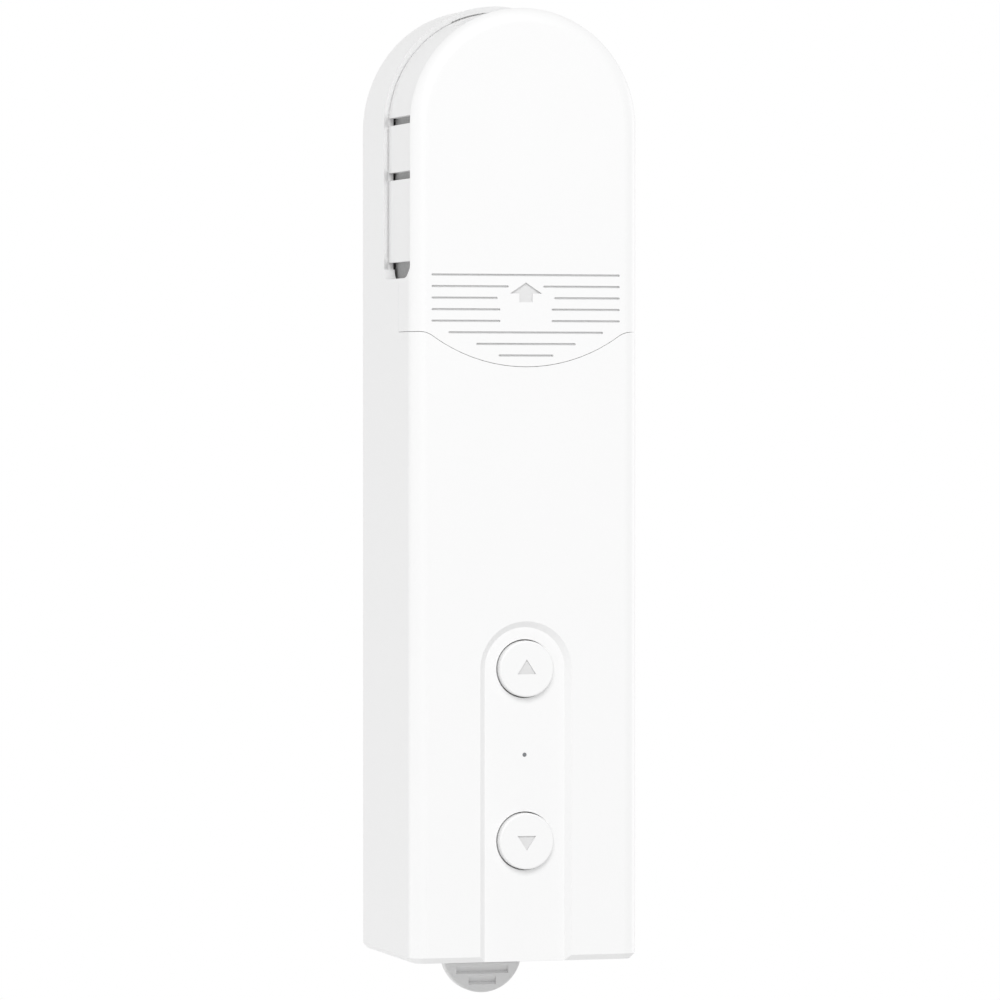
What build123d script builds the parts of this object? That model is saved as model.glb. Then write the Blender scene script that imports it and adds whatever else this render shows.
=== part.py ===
from build123d import *
import math
import os

# Roller shade motor: a battery-powered drive that turns the bead chain of a roller shade.
# Lengths are in millimetres. The pieces are drawn with X to the right, Y from the front face
# towards the wall and Z up from the underside of the housing, and are moved to the wall
# bracket at the end.

# Clearances
fit_gap = 0.3
seam_gap = 0.1
running_gap = 0.04
screw_gap = 0.15

# How far joined pieces are drawn into each other, and how far a cut runs past a surface
overlap = 0.2
past = 1.0

# Batteries and their tray, which set the width of the housing
cell_diameter = 18.4
cell_length = 65.0
cell_gap = 0.4
cell_clearance = 0.35
cell_edge_radius = 0.8
cell_to_board = 2.2
cell_cap_radius = 3.0
cell_cap_height = 0.8
link_thickness = 0.3
link_half_width = 3.0
top_link_length = 9.0
tray_wall = 1.2
tray_end_wall = 1.5
tray_lip = 1.0

# Housing shell
side_wall = 2.15
front_wall = 2.4
bottom_wall = 2.0
edge_radius = 3.0
bottom_chamfer = 1.1
back_edge_radius = 0.6
back_plate_thickness = 2.0
half_inside = cell_gap / 2 + cell_diameter + 2 * cell_clearance + tray_wall
half_width = half_inside + side_wall

# Bead chain and the wheel that it runs on
bead_diameter = 4.5
bead_pitch = 6.0
bead_pockets = 9
pocket_gap = 0.12
cord_groove = 1.8
cord_groove_depth = 1.3
wheel_rim = 1.5
wheel_rim_height = 1.8
wheel_front_gap = 1.8
wheel_back_gap = 0.5
chain_guide_gap = 1.2
chain_guide_wall = 1.5
guide_lead = 0.6
pitch_radius = bead_pitch / (2 * math.sin(math.pi / bead_pockets))
wheel_radius = pitch_radius + wheel_rim_height
wheel_width = bead_diameter + 2 * pocket_gap + 2 * wheel_rim
wheel_shaft_radius = 2.5
wheel_shaft_set = 0.2
wheel_shaft_end = 0.6
wheel_screw_radius = 1.25
wheel_screw_length = 7.5
wheel_screw_head = 3.0
wheel_screw_head_height = 1.2

# Bevel pair between the vertical motor and the wheel shaft
pressure_angle = math.radians(20)
bevel_module = 0.8
bevel_gear_teeth = 18
bevel_pinion_teeth = 12
bevel_face = 2.8
bevel_addendum = 0.75
bevel_dedendum = 1.05
bevel_backlash = 0.12
bevel_gear_hub = 4.4
bevel_gear_hub_length = 1.6
bevel_pinion_hub = 3.4
pinion_hub_gap = 2.5
pinion_wall_gap = 0.89
gear_pitch_radius = bevel_module * bevel_gear_teeth / 2
pinion_pitch_radius = bevel_module * bevel_pinion_teeth / 2
cone_distance = math.hypot(gear_pitch_radius, pinion_pitch_radius)
pinion_tip_radius = pinion_pitch_radius + bevel_module * gear_pitch_radius / cone_distance

# Two planetary stages
planet_module = 0.4
sun_teeth = 12
planet_teeth = 15
ring_teeth = sun_teeth + 2 * planet_teeth
planets = 3
planet_addendum = 0.7
planet_dedendum = 1.0
planet_backlash = 0.07
input_face = 4.5
output_face = 5.0
stage_gap = 0.5
planet_pin_radius = 0.8
carrier_plate = 2.0
carrier_radius = 7.4
centre_pin_radius = 0.9
centre_pin_floor = 1.0
orbit_radius = planet_module * (sun_teeth + planet_teeth) / 2

# Motor, bottom to top
motor_radius = 10.0
motor_can_wall = 0.8
motor_can_length = 28.0
motor_cap_length = 3.0
motor_cap_spigot = 1.2
motor_shaft_radius = 1.0
motor_bush_radius = 3.0
motor_bush_length = 2.0
motor_bush_proud = 0.6
rotor_radius = 6.5
rotor_length = 18.0
rotor_poles = 5
rotor_slot_width = 1.4
rotor_slot_depth = 4.0
commutator_radius = 2.6
commutator_length = 3.0
commutator_lift = 1.5
magnet_inner_radius = 7.1
magnet_angle = 140.0
magnet_lift = 3.0
magnet_extra = 3.0
encoder_magnet_radius = 3.0
encoder_magnet_height = 2.0
encoder_magnet_floor = 0.6
encoder_gap = 1.0
board_thickness = 1.2
encoder_board_half = 8.0
encoder_post_radius = 1.2
encoder_post_inset = 1.6
damper_height = 4.0
damper_lift = 1.0
damper_wall = 0.85
motor_mount_gap = 3.9
case_floor = 1.5
case_cap_thickness = 2.2
case_cap_flange = 1.5
case_cap_flange_width = 32.0
case_cap_flange_depth = 16.0
cap_screw_edge = 0.7
output_shaft_radius = 1.8
output_shaft_end = 1.2
output_bush_wall = 1.2
output_bush_lift = 0.4
pinion_stand_off = 8.3

# Heights, stacked from the underside of the housing
tray_bottom = bottom_wall + fit_gap
cell_bottom = tray_bottom + tray_end_wall + link_thickness
cell_top = cell_bottom + cell_length + cell_cap_height
tray_top = cell_top + link_thickness + tray_end_wall
encoder_board_bottom = tray_top + motor_mount_gap
encoder_magnet_bottom = encoder_board_bottom + board_thickness + encoder_gap
motor_bottom = encoder_magnet_bottom + encoder_magnet_height + encoder_gap / 2
motor_can_bottom = motor_bottom + motor_cap_length
motor_top = motor_can_bottom + motor_can_length
input_stage = motor_top + case_floor + stage_gap
input_carrier_bottom = input_stage + input_face + stage_gap
output_stage = input_carrier_bottom + carrier_plate + stage_gap
output_carrier_bottom = output_stage + output_face + stage_gap
case_top = output_carrier_bottom + carrier_plate + stage_gap
shoulder = case_top + case_cap_thickness
pinion_bottom = shoulder + case_cap_flange + pinion_stand_off
wheel_height = pinion_bottom + gear_pitch_radius
arch_above_wheel = 12.35
arch_centre = wheel_height + arch_above_wheel
rim_rise = 1.3
body_height = arch_centre + half_width + rim_rise

# Depths, stacked from the front face to the wall
cover_thickness = 2.0
frame_gap = 0.4
frame_front = cover_thickness + frame_gap
wheel_front = frame_front + wheel_front_gap
wheel_back = wheel_front + wheel_width
bead_plane = wheel_front + wheel_width / 2
mid_wall_thickness = 1.7
mid_wall_front = wheel_back + wheel_back_gap
mid_wall_back = mid_wall_front + mid_wall_thickness
drive_depth = mid_wall_back + pinion_wall_gap + pinion_tip_radius
pocket_gap_behind_motor = 1.0
pocket_floor = 1.5
pocket_front = drive_depth + motor_radius + pocket_gap_behind_motor
bracket_depth = 4.2
bracket_base = 1.5
bracket_front = pocket_front + pocket_floor + fit_gap
body_depth = bracket_front + bracket_depth
back_plate_front = body_depth - back_plate_thickness

# Chain cover on the upper front, which slides up and off
rim_depth = 20.8
rim_gap = 0.2
rim_slope = 1.05
rim_relief = 0.3
rim_relief_half_width = 8.8
rim_relief_depth = 0.4
cover_flange_depth = 9.7
cover_flange_wall = 0.85
cover_flange_height = 10.2
cover_corner_depth = 4.1
cover_corner_height = 2.4
cover_lower_radius = 32.0
cover_lower_drop = 6.7
cover_blend_radius = 4.5
slot_corner_radius = 2.0
ledge_wall = 2.0
ledge_overlap = 5.0
shoulder_wall = 2.0
groove_height = 0.42
groove_depth = 0.6
groove_pitch = 2.2
groove_top = 0.6
groove_half_lengths = [18.75, 18.75, 18.75, 18.75, 18.75, 15.4, 9.9, 5.45]
groove_inner_ends = [0, 3.45, 5.65, 5.1, 5.1, 0, 0, 0]
arrow_rise = 2.12
arrow_half_width = 3.17
arrow_shaft_half_width = 1.32
arrow_shaft_length = 1.68
arrow_tip = 0.8
rail_outer = 16.1
rail_leg = 1.2
rail_foot = 3.2
rail_thickness = 1.2
rail_length = 20.0
lip_thickness = 1.3

# Inner frame that closes the chain chamber
frame_wall = 1.5
frame_recess = 1.15
frame_lift = 3.3
frame_rise = 1.0
frame_slit_height = 1.55
frame_slit_lower = 2.1
frame_slit_upper = 12.7
frame_slit_front = 3.4
mouth_half_width = 11.2
frame_foot_inner = 14.5
frame_foot_outer = 19.0
frame_foot_front = 6.0
frame_foot_back = 12.0
bush_wall = 1.6
bush_flange = 1.4
bush_flange_thickness = 0.8
bush_boss_wall = 1.4
bush_boss_length = 1.0
drive_plate_half_width = 14.0
drive_plate_thickness = 2.4
drive_plate_edge = 0.6
drive_post_radius = 2.2
drive_post_x = 11.6
drive_post_low = 7.5
drive_post_high = 8.5
drive_screw_length = 9.0
drive_screw_clear = 4.0

# Buttons, their channel and the indicator
channel_half_width = 9.1
channel_floor_half_width = 7.96
channel_depth = 1.05
up_button_height = 56.2
down_button_height = 23.15
button_diameter = 10.8
button_hole_gap = 0.25
button_proud = 1.65
button_edge_radius = 0.35
button_flange = 1.1
button_flange_thickness = 0.8
button_stem_radius = 1.5
button_stem_length = 0.7
button_travel = 0.5
triangle_half_width = 1.85
triangle_height = 2.85
triangle_depth = 0.4
triangle_shift = 0.4
indicator_height = 39.67
indicator_diameter = 0.83
light_pipe_radius = 1.4
light_pipe_sink = 0.1

# Main board and what it carries
board_half_width = 14.0
board_foot_gap = 0.6
board_bottom = bottom_wall + board_foot_gap
switch_height = 1.0
switch_size = 4.5
switch_plunger_radius = 1.2
switch_plunger_height = 0.3
board_front = front_wall + fit_gap + button_flange_thickness + button_stem_length + button_travel
board_front = board_front + fit_gap + switch_plunger_height + switch_height
board_back = board_front + board_thickness
board_boss_x = 11.0
board_boss_radius = 2.2
board_boss_low = 11.5
board_boss_high = 67.5
socket_width = 8.94
socket_height = 3.2
socket_length = 7.3
socket_recess = 0.8
socket_wall = 0.3
socket_tongue = 0.7
socket_tongue_half = 3.4
socket_flat = 0.01
led_size = 1.6
led_height = 0.8
screw_radius = 1.0
screw_head_radius = 1.9
screw_head_height = 1.2
screw_floor = 0.6
driver_slot = 0.7
cross_width = 0.5
cross_length = 2.2
cross_depth = 0.5
connector_x = 5.0
connector_half_width = 3.2
connector_height = 2.4
connector_length = 5.0
connector_inset = 2.0
# Each chip: middle across, lower edge above the board's, width, length, height
chip_sizes = [
    (0, 6, 15, 15, 1.8), (0, 28, 6, 6, 1.2), (7.5, 29, 4, 4, 1.0),
]

# Screws that hold the back plate
back_boss_radius = 2.9
back_boss_x = 17.3
back_boss_low = 6.2
back_boss_high = 5.5
back_boss_arch = 18.8
back_screw_radius = 1.25
back_screw_head_radius = 2.3
back_screw_length = 12.0
back_screw_sink = 0.3

# Wall bracket, the pocket that it fits and the release tab
bracket_half_width = 12.0
bracket_flange = 1.4
bracket_bottom = 12.0
bracket_length = 110.0
bracket_hole_spacing = 70.0
bracket_hole_radius = 2.1
bracket_side_gap = 0.6
pocket_wall = 1.4
pocket_foot = 1.0
hook_out = 1.4
hook_height = 5.0
hook_depth = 1.4
hook_low = 33.0
hook_high = 93.0
hook_entry = 9.0
tab_radius = 8.15
tab_drop = 0.6
tab_front = 6.5
tab_thickness = 2.0
tab_edge_radius = 0.4
tab_pivot_height = 24.0
tab_pin_radius = 1.0
tab_pivot_back = 3.7
tab_barrel_radius = 2.0
tab_end_gap = 0.6
tab_lug_half_width = 4.0
tab_lug_height = 3.0
tab_lug_low = 3.5
tab_lug_reach = 1.4
tab_pocket_floor = 1.0
tab_pocket_gap = 0.4
tab_groove_height = 1.25
tab_groove_lip = 0.4
tab_groove_depth = 0.8
tab_groove_half_widths = [7.1, 5.3, 2.8]
tab_groove_tops = [-1.3, -3.4, -5.5]
spring_leaf = 0.4
spring_half_width = 3.0
spring_below_pivot = 5.0
spring_gap = 0.7

# Leads inside the housing
lead_radius = 0.6
lead_spacing = 2.0
lead_under_motor = 1.4
lead_terminal_inset = 1.4
lead_bends = [0.9, 0.3]

# Places that follow from the values above
bracket_middle = bracket_bottom + bracket_length / 2
tab_front_depth = body_depth - tab_front
tab_back_depth = tab_front_depth + tab_thickness
tab_pivot_depth = tab_front_depth + tab_pivot_back
cell_x = (cell_diameter + cell_gap) / 2
cell_depth = board_back + cell_to_board + cell_diameter / 2
tray_back = cell_depth + cell_diameter / 2 + cell_clearance / 2
board_top = tray_top + back_boss_low - back_boss_radius - 2 * fit_gap
frame_half = half_width - frame_recess
frame_bottom = shoulder + frame_lift
rim_back = rim_depth + rim_slope
frame_back = rim_back - rim_gap
guide_radius = wheel_radius + chain_guide_gap
cover_straight = shoulder - cover_flange_height
button_back = front_wall + fit_gap


def box(x0, x1, y0, y1, z0, z1):
    centre = Pos((x0 + x1) / 2, (y0 + y1) / 2, (z0 + z1) / 2)
    return centre * Box(x1 - x0, y1 - y0, z1 - z0)


def rod_x(radius, x0, x1, y, z):
    return Pos((x0 + x1) / 2, y, z) * Rot(0, 90, 0) * Cylinder(radius, x1 - x0)


def rod_y(radius, y0, y1, x, z):
    return Pos(x, (y0 + y1) / 2, z) * Rot(90, 0, 0) * Cylinder(radius, y1 - y0)


def rod_z(radius, z0, z1, x, y):
    return Pos(x, y, (z0 + z1) / 2) * Cylinder(radius, z1 - z0)


def both_sides(solid):
    return solid + mirror(solid, about=Plane.YZ)


def slab(face, y0, y1):
    """A face drawn with x to the right and y up, given the depth from y0 to y1."""
    return Pos(0, y1, 0) * extrude(Plane.XZ * face, amount=y1 - y0)


def upright(half, bottom, rise=0):
    """The front outline of the housing: straight sides under an arch, half-round or taller by rise."""
    straight = Pos(0, (bottom + arch_centre) / 2) * Rectangle(2 * half, arch_centre - bottom)
    arch = Ellipse(half, half + rise) if rise else Circle(half)
    return straight + Pos(0, arch_centre) * arch


def polygon(points):
    return make_face(Polyline(*points, close=True))


# Outer form shared by the housing, the cover and the back plate
def body_form():
    above_foot = bottom_chamfer
    form = slab(upright(half_width, 0), 0, rim_depth)
    front = form.faces().sort_by(Axis.Y)[0].edges()
    form = fillet(front.filter_by(lambda e: e.center().Z > above_foot), edge_radius)
    form += slab(upright(half_width, 0, rim_rise), rim_depth, body_depth)
    foot = form.faces().sort_by(Axis.Z)[0].edges()
    form = chamfer(foot.filter_by(lambda e: e.center().Y < body_depth - past), bottom_chamfer)
    rear = form.faces().sort_by(Axis.Y)[-1].edges()
    return fillet(rear.filter_by(lambda e: e.center().Z > above_foot), back_edge_radius)


def cover_outline(grow):
    """The cover from the front: straight to its lower corners, then bowed down in the middle."""
    low = cover_straight - grow
    bow_centre = cover_straight - cover_lower_drop + cover_lower_radius
    bow = Pos(0, bow_centre) * Circle(cover_lower_radius + grow)
    below = Pos(0, low - half_width) * Rectangle(4 * half_width, 2 * half_width)
    face = upright(half_width + grow, low) + (bow & below)
    corners = face.vertices().filter_by(lambda v: abs(v.Y - low) < 0.01 and abs(v.X) < half_width)
    return fillet(corners, cover_blend_radius - grow)


def slot_cut():
    """The space above the shoulder, in front of the rear rim."""
    height = body_height - shoulder + 2 * half_width
    face = Pos(0, shoulder + height / 2) * Rectangle(2 * rim_depth, height)
    corner = face.vertices().filter_by(lambda v: v.X > 0 and v.Y < shoulder + past)
    face = fillet(corner, slot_corner_radius)
    return Pos(-half_width - past, 0, 0) * extrude(Plane.YZ * face, amount=2 * (half_width + past))


def rim_cut():
    """The slope of the rear rim round the frame, from its outer edge in to the frame."""
    sections = []
    for depth in (rim_depth - overlap, rim_back):
        share = (rim_back - depth) / rim_slope
        half = frame_half + share * (half_width - frame_half)
        rise = frame_rise + share * (rim_rise - frame_rise)
        outline = upright(half, shoulder + slot_corner_radius, rise)
        sections.append((Pos(0, depth, 0) * (Plane.XZ * outline)).faces()[0])
    return loft(sections, ruled=True)


def button_channel():
    """The shallow channel that the buttons sit in, open at the bottom, with sloping walls."""
    foot = channel_half_width
    slope = (channel_half_width - channel_floor_half_width) / channel_depth
    sections = []
    for depth in (-overlap, channel_depth):
        half = channel_floor_half_width + slope * (channel_depth - depth)
        outline = Pos(0, (up_button_height - foot) / 2) * Rectangle(2 * half, up_button_height + foot)
        outline += Pos(0, up_button_height) * Circle(half)
        sections.append((Pos(0, depth, 0) * (Plane.XZ * outline)).faces()[0])
    return loft(sections, ruled=True)


def back_boss_places():
    low = tray_top + back_boss_low
    high = shoulder - back_boss_high
    arch = back_boss_arch * math.sin(math.pi / 4)
    return [(back_boss_x, low), (back_boss_x, high), (arch, arch_centre + arch)]


# Main housing: one moulded shell, open at the back
def main_housing(form):
    shell = form & box(-half_width, half_width, -past, back_plate_front, -past, body_height + past)
    shell -= slab(upright(half_inside, bottom_wall, rim_rise), front_wall, body_depth)
    inside = half_inside + overlap
    ledge_bottom = cover_straight - cover_lower_drop - ledge_overlap
    ledge_front = cover_thickness + fit_gap
    shell += box(-inside, inside, ledge_front, ledge_front + ledge_wall, ledge_bottom, shoulder)
    cheek = frame_half - side_wall
    shell += both_sides(
        box(cheek, inside, ledge_front, cover_flange_depth + side_wall, ledge_bottom, shoulder)
    )
    shell += box(-inside, inside, ledge_front, back_plate_front, shoulder - shoulder_wall, shoulder)
    for x, z in back_boss_places():
        front = rim_back if z > shoulder else front_wall - overlap
        shell += both_sides(rod_y(back_boss_radius, front, back_plate_front, x, z))
    saddle_bottom = motor_can_bottom + damper_lift
    saddle = box(
        -inside, inside, front_wall - overlap, drive_depth + motor_radius / 2,
        saddle_bottom, saddle_bottom + damper_height,
    )
    saddle_bore = motor_radius + damper_wall
    saddle -= rod_z(saddle_bore, saddle_bottom - past, saddle_bottom + damper_height + past, 0, drive_depth)
    saddle -= box(
        -saddle_bore, saddle_bore, drive_depth, body_depth,
        saddle_bottom - past, saddle_bottom + damper_height + past,
    )
    shell += saddle
    for z in (board_boss_low, board_boss_high):
        shell += both_sides(
            rod_y(board_boss_radius, front_wall - overlap, board_front, board_boss_x, z)
        )
        shell -= both_sides(
            rod_y(screw_radius, front_wall + screw_floor, board_front + past, board_boss_x, z)
        )
    shell -= slab(cover_outline(seam_gap), -past, cover_thickness + fit_gap)
    shell -= both_sides(
        box(
            frame_half, half_width + past, -past, cover_flange_depth + seam_gap,
            cover_straight - seam_gap, shoulder + past,
        )
    )
    shell -= slot_cut()
    shell -= rim_cut()
    relief = slab(
        upright(frame_half + rim_relief, shoulder, frame_rise), rim_depth, rim_back + rim_relief_depth
    )
    shell -= relief & box(
        -rim_relief_half_width, rim_relief_half_width, 0, body_depth, arch_centre, body_height
    )
    shell -= rod_z(
        motor_radius + fit_gap / 2, shoulder - shoulder_wall - past, shoulder + past, 0, drive_depth
    )
    for x, z in back_boss_places():
        shell -= both_sides(
            rod_y(back_screw_radius, back_plate_front - back_screw_length, body_depth, x, z)
        )
    for x in (-1, 1):
        shell -= rod_z(
            screw_radius, shoulder - shoulder_wall - past, shoulder + past,
            x * frame_foot_x(), frame_foot_y(),
        )
        shell -= rod_z(
            screw_radius, shoulder - shoulder_wall - past, shoulder + past, x * cap_screw_x(), drive_depth
        )
    shell -= button_channel()
    for z in (up_button_height, down_button_height):
        shell -= rod_y(button_diameter / 2 + button_hole_gap, -past, front_wall + past, 0, z)
    shell -= rod_y(indicator_diameter / 2, -past, front_wall + past, 0, indicator_height)
    socket_cut = Pos(0, board_front - socket_height / 2) * RectangleRounded(
        socket_width + 2 * fit_gap, socket_height + 2 * fit_gap, socket_height / 2
    )
    shell -= Pos(0, 0, -past) * extrude(socket_cut, amount=bottom_wall + 2 * past)
    notch = tab_radius + tab_end_gap + tab_pocket_floor + fit_gap
    shell -= box(-notch, notch, tab_pocket_front() - fit_gap, body_depth, -past, bottom_wall + past)
    return shell


def frame_foot_x():
    return (frame_foot_inner + frame_foot_outer) / 2


def frame_foot_y():
    return (frame_foot_front + frame_foot_back) / 2


def cap_screw_x():
    return case_cap_flange_width / 2 - screw_head_radius - cap_screw_edge


def tab_pocket_front():
    return tab_front_depth - tab_pocket_gap - tab_pocket_floor


# Back plate: closes the housing and carries the pocket for the wall bracket
def back_plate(form):
    plate = form & box(
        -half_width, half_width, back_plate_front, body_depth + past, -past, body_height + past
    )
    pocket_half = bracket_half_width + bracket_side_gap
    pocket_top = bracket_bottom + bracket_length + bracket_side_gap
    outer_half = pocket_half + pocket_wall
    outer_top = pocket_top + pocket_wall
    tray_low = bottom_wall + fit_gap
    plate += box(-outer_half, outer_half, pocket_front, back_plate_front + overlap, tray_low, outer_top)
    deep_half = tab_radius + tab_end_gap
    deep_top = tab_pivot_height + tab_barrel_radius + tab_end_gap
    deep_outer = deep_half + tab_pocket_floor
    plate += box(
        -deep_outer, deep_outer, tab_pocket_front(), back_plate_front + overlap,
        bottom_chamfer, deep_top + tab_pocket_floor,
    )
    plate -= box(
        -pocket_half, pocket_half, pocket_front + pocket_floor, body_depth + past,
        tray_low + pocket_foot, pocket_top,
    )
    plate -= box(
        -deep_half, deep_half, tab_front_depth - tab_pocket_gap, body_depth + past, -past, deep_top
    )
    lug_half = tab_lug_half_width + 2 * fit_gap
    plate -= box(
        -lug_half, lug_half, tab_pocket_front() - past, tab_front_depth,
        tab_lug_low - 2 * fit_gap, tab_lug_low + tab_lug_height + 2 * fit_gap,
    )
    hook_top = hook_height + seam_gap
    for low in (hook_low, hook_high):
        z = bracket_bottom + low
        front = bracket_front - seam_gap
        plate -= both_sides(
            box(
                pocket_half - overlap, pocket_half + hook_out, front,
                front + hook_depth + fit_gap, z - hook_entry, z + hook_top,
            )
        )
        plate -= both_sides(
            box(
                pocket_half - overlap, pocket_half + hook_out, front,
                body_depth + past, z - hook_entry, z - fit_gap,
            )
        )
    for x, z in back_boss_places():
        hole = rod_y(back_screw_radius + screw_gap, back_plate_front - past, body_depth + past, x, z)
        sink = rod_y(
            back_screw_head_radius + screw_gap,
            body_depth - screw_head_height - back_screw_sink, body_depth + past, x, z,
        )
        plate -= both_sides(hole + sink)
    return plate


# Chain cover: a thin face with side flanges, finger grooves and two guide rails
def chain_cover(form):
    cover = slab(cover_outline(0), 0, cover_thickness)
    flange_in = half_width - cover_flange_wall
    cover += both_sides(
        box(flange_in, half_width, cover_thickness - overlap, cover_flange_depth, cover_straight, shoulder)
    )
    corner = Pos(cover_thickness + cover_corner_depth / 2, shoulder + cover_corner_height / 2)
    web = corner * Rectangle(cover_corner_depth, cover_corner_height)
    far = Pos(cover_thickness + cover_corner_depth, shoulder + cover_corner_height)
    web -= far * Ellipse(cover_corner_depth, cover_corner_height)
    web += Pos(cover_thickness, shoulder) * Rectangle(2 * overlap, 2 * overlap)
    cover += both_sides(Pos(flange_in, 0, 0) * extrude(Plane.YZ * web, amount=cover_flange_wall))
    cover = cover & form
    rail_bottom = frame_bottom + frame_wall + 2 * fit_gap
    rail = box(
        rail_outer, rail_outer + rail_leg, cover_thickness - overlap,
        frame_front + lip_thickness + fit_gap + rail_thickness, rail_bottom, rail_bottom + rail_length,
    )
    rail += box(
        rail_outer, rail_outer + rail_foot, frame_front + lip_thickness + fit_gap,
        frame_front + lip_thickness + fit_gap + rail_thickness, rail_bottom, rail_bottom + rail_length,
    )
    cover += both_sides(rail)
    return cover - cover_engraving()


def cover_engraving():
    grooves = Sketch()
    for row, (end, start) in enumerate(zip(groove_half_lengths, groove_inner_ends)):
        z = shoulder + groove_top - row * groove_pitch
        if start == 0:
            grooves += Pos(0, z) * SlotOverall(2 * end, groove_height)
        else:
            for side in (-1, 1):
                grooves += Pos(side * (start + end) / 2, z) * SlotOverall(end - start, groove_height)
    tip = shoulder - arrow_tip
    wing = tip - arrow_rise
    foot = wing - arrow_shaft_length
    right = [(arrow_half_width, wing), (arrow_shaft_half_width, wing), (arrow_shaft_half_width, foot)]
    left = [(-x, z) for x, z in reversed(right)]
    grooves += polygon([(0, tip)] + right + left)
    return slab(grooves, -past, groove_depth)


# Inner frame: tub around the chain wheel that shows through the side slots
def inner_frame():
    depth = frame_back
    inner = frame_half - frame_wall
    tub = slab(upright(frame_half, frame_bottom, frame_rise), frame_front, depth)
    tub -= slab(upright(inner, frame_bottom - past, frame_rise), frame_front - past, depth + past)
    inner += overlap
    tub += slab(upright(inner, frame_bottom, frame_rise), mid_wall_front, mid_wall_back)
    tub += box(-inner, inner, frame_front, mid_wall_back, frame_bottom, frame_bottom + frame_wall)
    guide = Circle(guide_radius + chain_guide_wall) & Pos(0, -half_width) * Rectangle(
        2 * half_width, 2 * half_width
    )
    guide += Pos(0, arch_above_wheel) * Rectangle(
        2 * (guide_radius + chain_guide_wall), 2 * arch_above_wheel
    )
    guide -= Circle(guide_radius)
    guide -= Pos(0, half_width) * Rectangle(2 * guide_radius, 2 * half_width)
    guide = (Pos(0, wheel_height) * guide) & upright(inner, frame_bottom, frame_rise)
    tub += slab(guide, wheel_front - guide_lead, mid_wall_front + overlap)
    lip_in = rail_outer + rail_leg + fit_gap
    tub += both_sides(
        box(lip_in, inner, frame_front, frame_front + lip_thickness, frame_bottom, arch_centre)
    )
    rail_back = frame_front + lip_thickness + fit_gap + rail_thickness + fit_gap
    tub -= both_sides(
        box(
            rail_outer - fit_gap, rail_outer + rail_foot + fit_gap, frame_front - past, rail_back,
            arch_centre, body_height,
        )
    )
    tub -= box(
        -mouth_half_width, mouth_half_width, frame_front - past, mid_wall_front,
        arch_centre, body_height,
    )
    for low in (frame_slit_lower, frame_slit_upper):
        z = wheel_height + low
        tub -= both_sides(
            box(
                frame_half - 2 * frame_wall, frame_half + past, frame_slit_front, depth + past,
                z, z + frame_slit_height,
            )
        )
    boss = wheel_shaft_radius + running_gap + bush_wall
    tub += rod_y(boss + bush_boss_wall, mid_wall_front, mid_wall_back + bush_boss_length, 0, wheel_height)
    tub -= rod_y(boss, mid_wall_front - past, mid_wall_back + bush_boss_length + past, 0, wheel_height)
    tub -= rod_y(
        boss + bush_flange, mid_wall_front - past, mid_wall_front + bush_flange_thickness, 0, wheel_height
    )
    tub += both_sides(
        box(
            frame_foot_inner, frame_foot_outer, frame_foot_front, frame_foot_back,
            shoulder, frame_bottom + overlap,
        )
    )
    for x in (-1, 1):
        tub -= rod_z(
            screw_radius + screw_gap, shoulder - past, frame_bottom + frame_wall + past,
            x * frame_foot_x(), frame_foot_y(),
        )
    x, z = back_boss_places()[2]
    tub += both_sides(rod_y(back_boss_radius, mid_wall_back - overlap, rim_back, x, z))
    for x, z in drive_post_places():
        tub -= rod_y(screw_radius, mid_wall_front - past, mid_wall_back + past, x, z)
    return tub


def drive_post_places():
    places = []
    for x in (-drive_post_x, drive_post_x):
        places.append((x, wheel_height - drive_post_low))
        places.append((x, wheel_height + drive_post_high))
    return places


def bush(y0, y1, flange_front):
    bore = wheel_shaft_radius + running_gap
    outer = bore + bush_wall
    ring = rod_y(outer, y0, y1, 0, wheel_height)
    ring += rod_y(
        outer + bush_flange, flange_front, flange_front + bush_flange_thickness, 0, wheel_height
    )
    return ring - rod_y(bore, y0 - past, y1 + past, 0, wheel_height)


def drive_plate_front():
    return bevel_gear_back() + bush_flange_thickness + 2 * fit_gap


def bevel_gear_back():
    root_drop = bevel_module * bevel_dedendum * gear_pitch_radius / cone_distance
    return drive_depth + pinion_pitch_radius + root_drop + bevel_gear_hub_length


# Rear bearing plate on four posts behind the chamber wall
def drive_bracket():
    front = drive_plate_front()
    low = wheel_height - drive_post_low - drive_post_radius - drive_plate_edge
    high = wheel_height + drive_post_high + drive_post_radius + drive_plate_edge
    plate = box(
        -drive_plate_half_width, drive_plate_half_width, front, front + drive_plate_thickness, low, high
    )
    for x, z in drive_post_places():
        plate += rod_y(drive_post_radius, mid_wall_back, front + overlap, x, z)
        plate -= rod_y(
            screw_radius + screw_gap, front - drive_screw_clear, front + drive_plate_thickness + past, x, z
        )
        plate -= rod_y(screw_radius, mid_wall_back - past, front - drive_screw_clear + past, x, z)
    bore = wheel_shaft_radius + running_gap + bush_wall
    return plate - rod_y(bore, front - past, front + drive_plate_thickness + past, 0, wheel_height)


# Gear teeth
def flank(teeth, module, addendum, dedendum, backlash, steps):
    """One side of a tooth as (radius, half angle), from the root to the tip."""
    pitch = teeth * module / 2
    base = pitch * math.cos(pressure_angle)
    root = pitch - dedendum * module
    tip = pitch + addendum * module
    half_at_pitch = math.pi / (2 * teeth) - backlash / (2 * pitch)
    half_at_base = half_at_pitch + math.tan(pressure_angle) - pressure_angle
    start = max(base, root)
    points = [(root, half_at_base)] if root < base else []
    for step in range(steps + 1):
        radius = start + (tip - start) * step / steps
        turn = math.acos(min(1, base / radius))
        points.append((radius, half_at_base - math.tan(turn) + turn))
    return points


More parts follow.
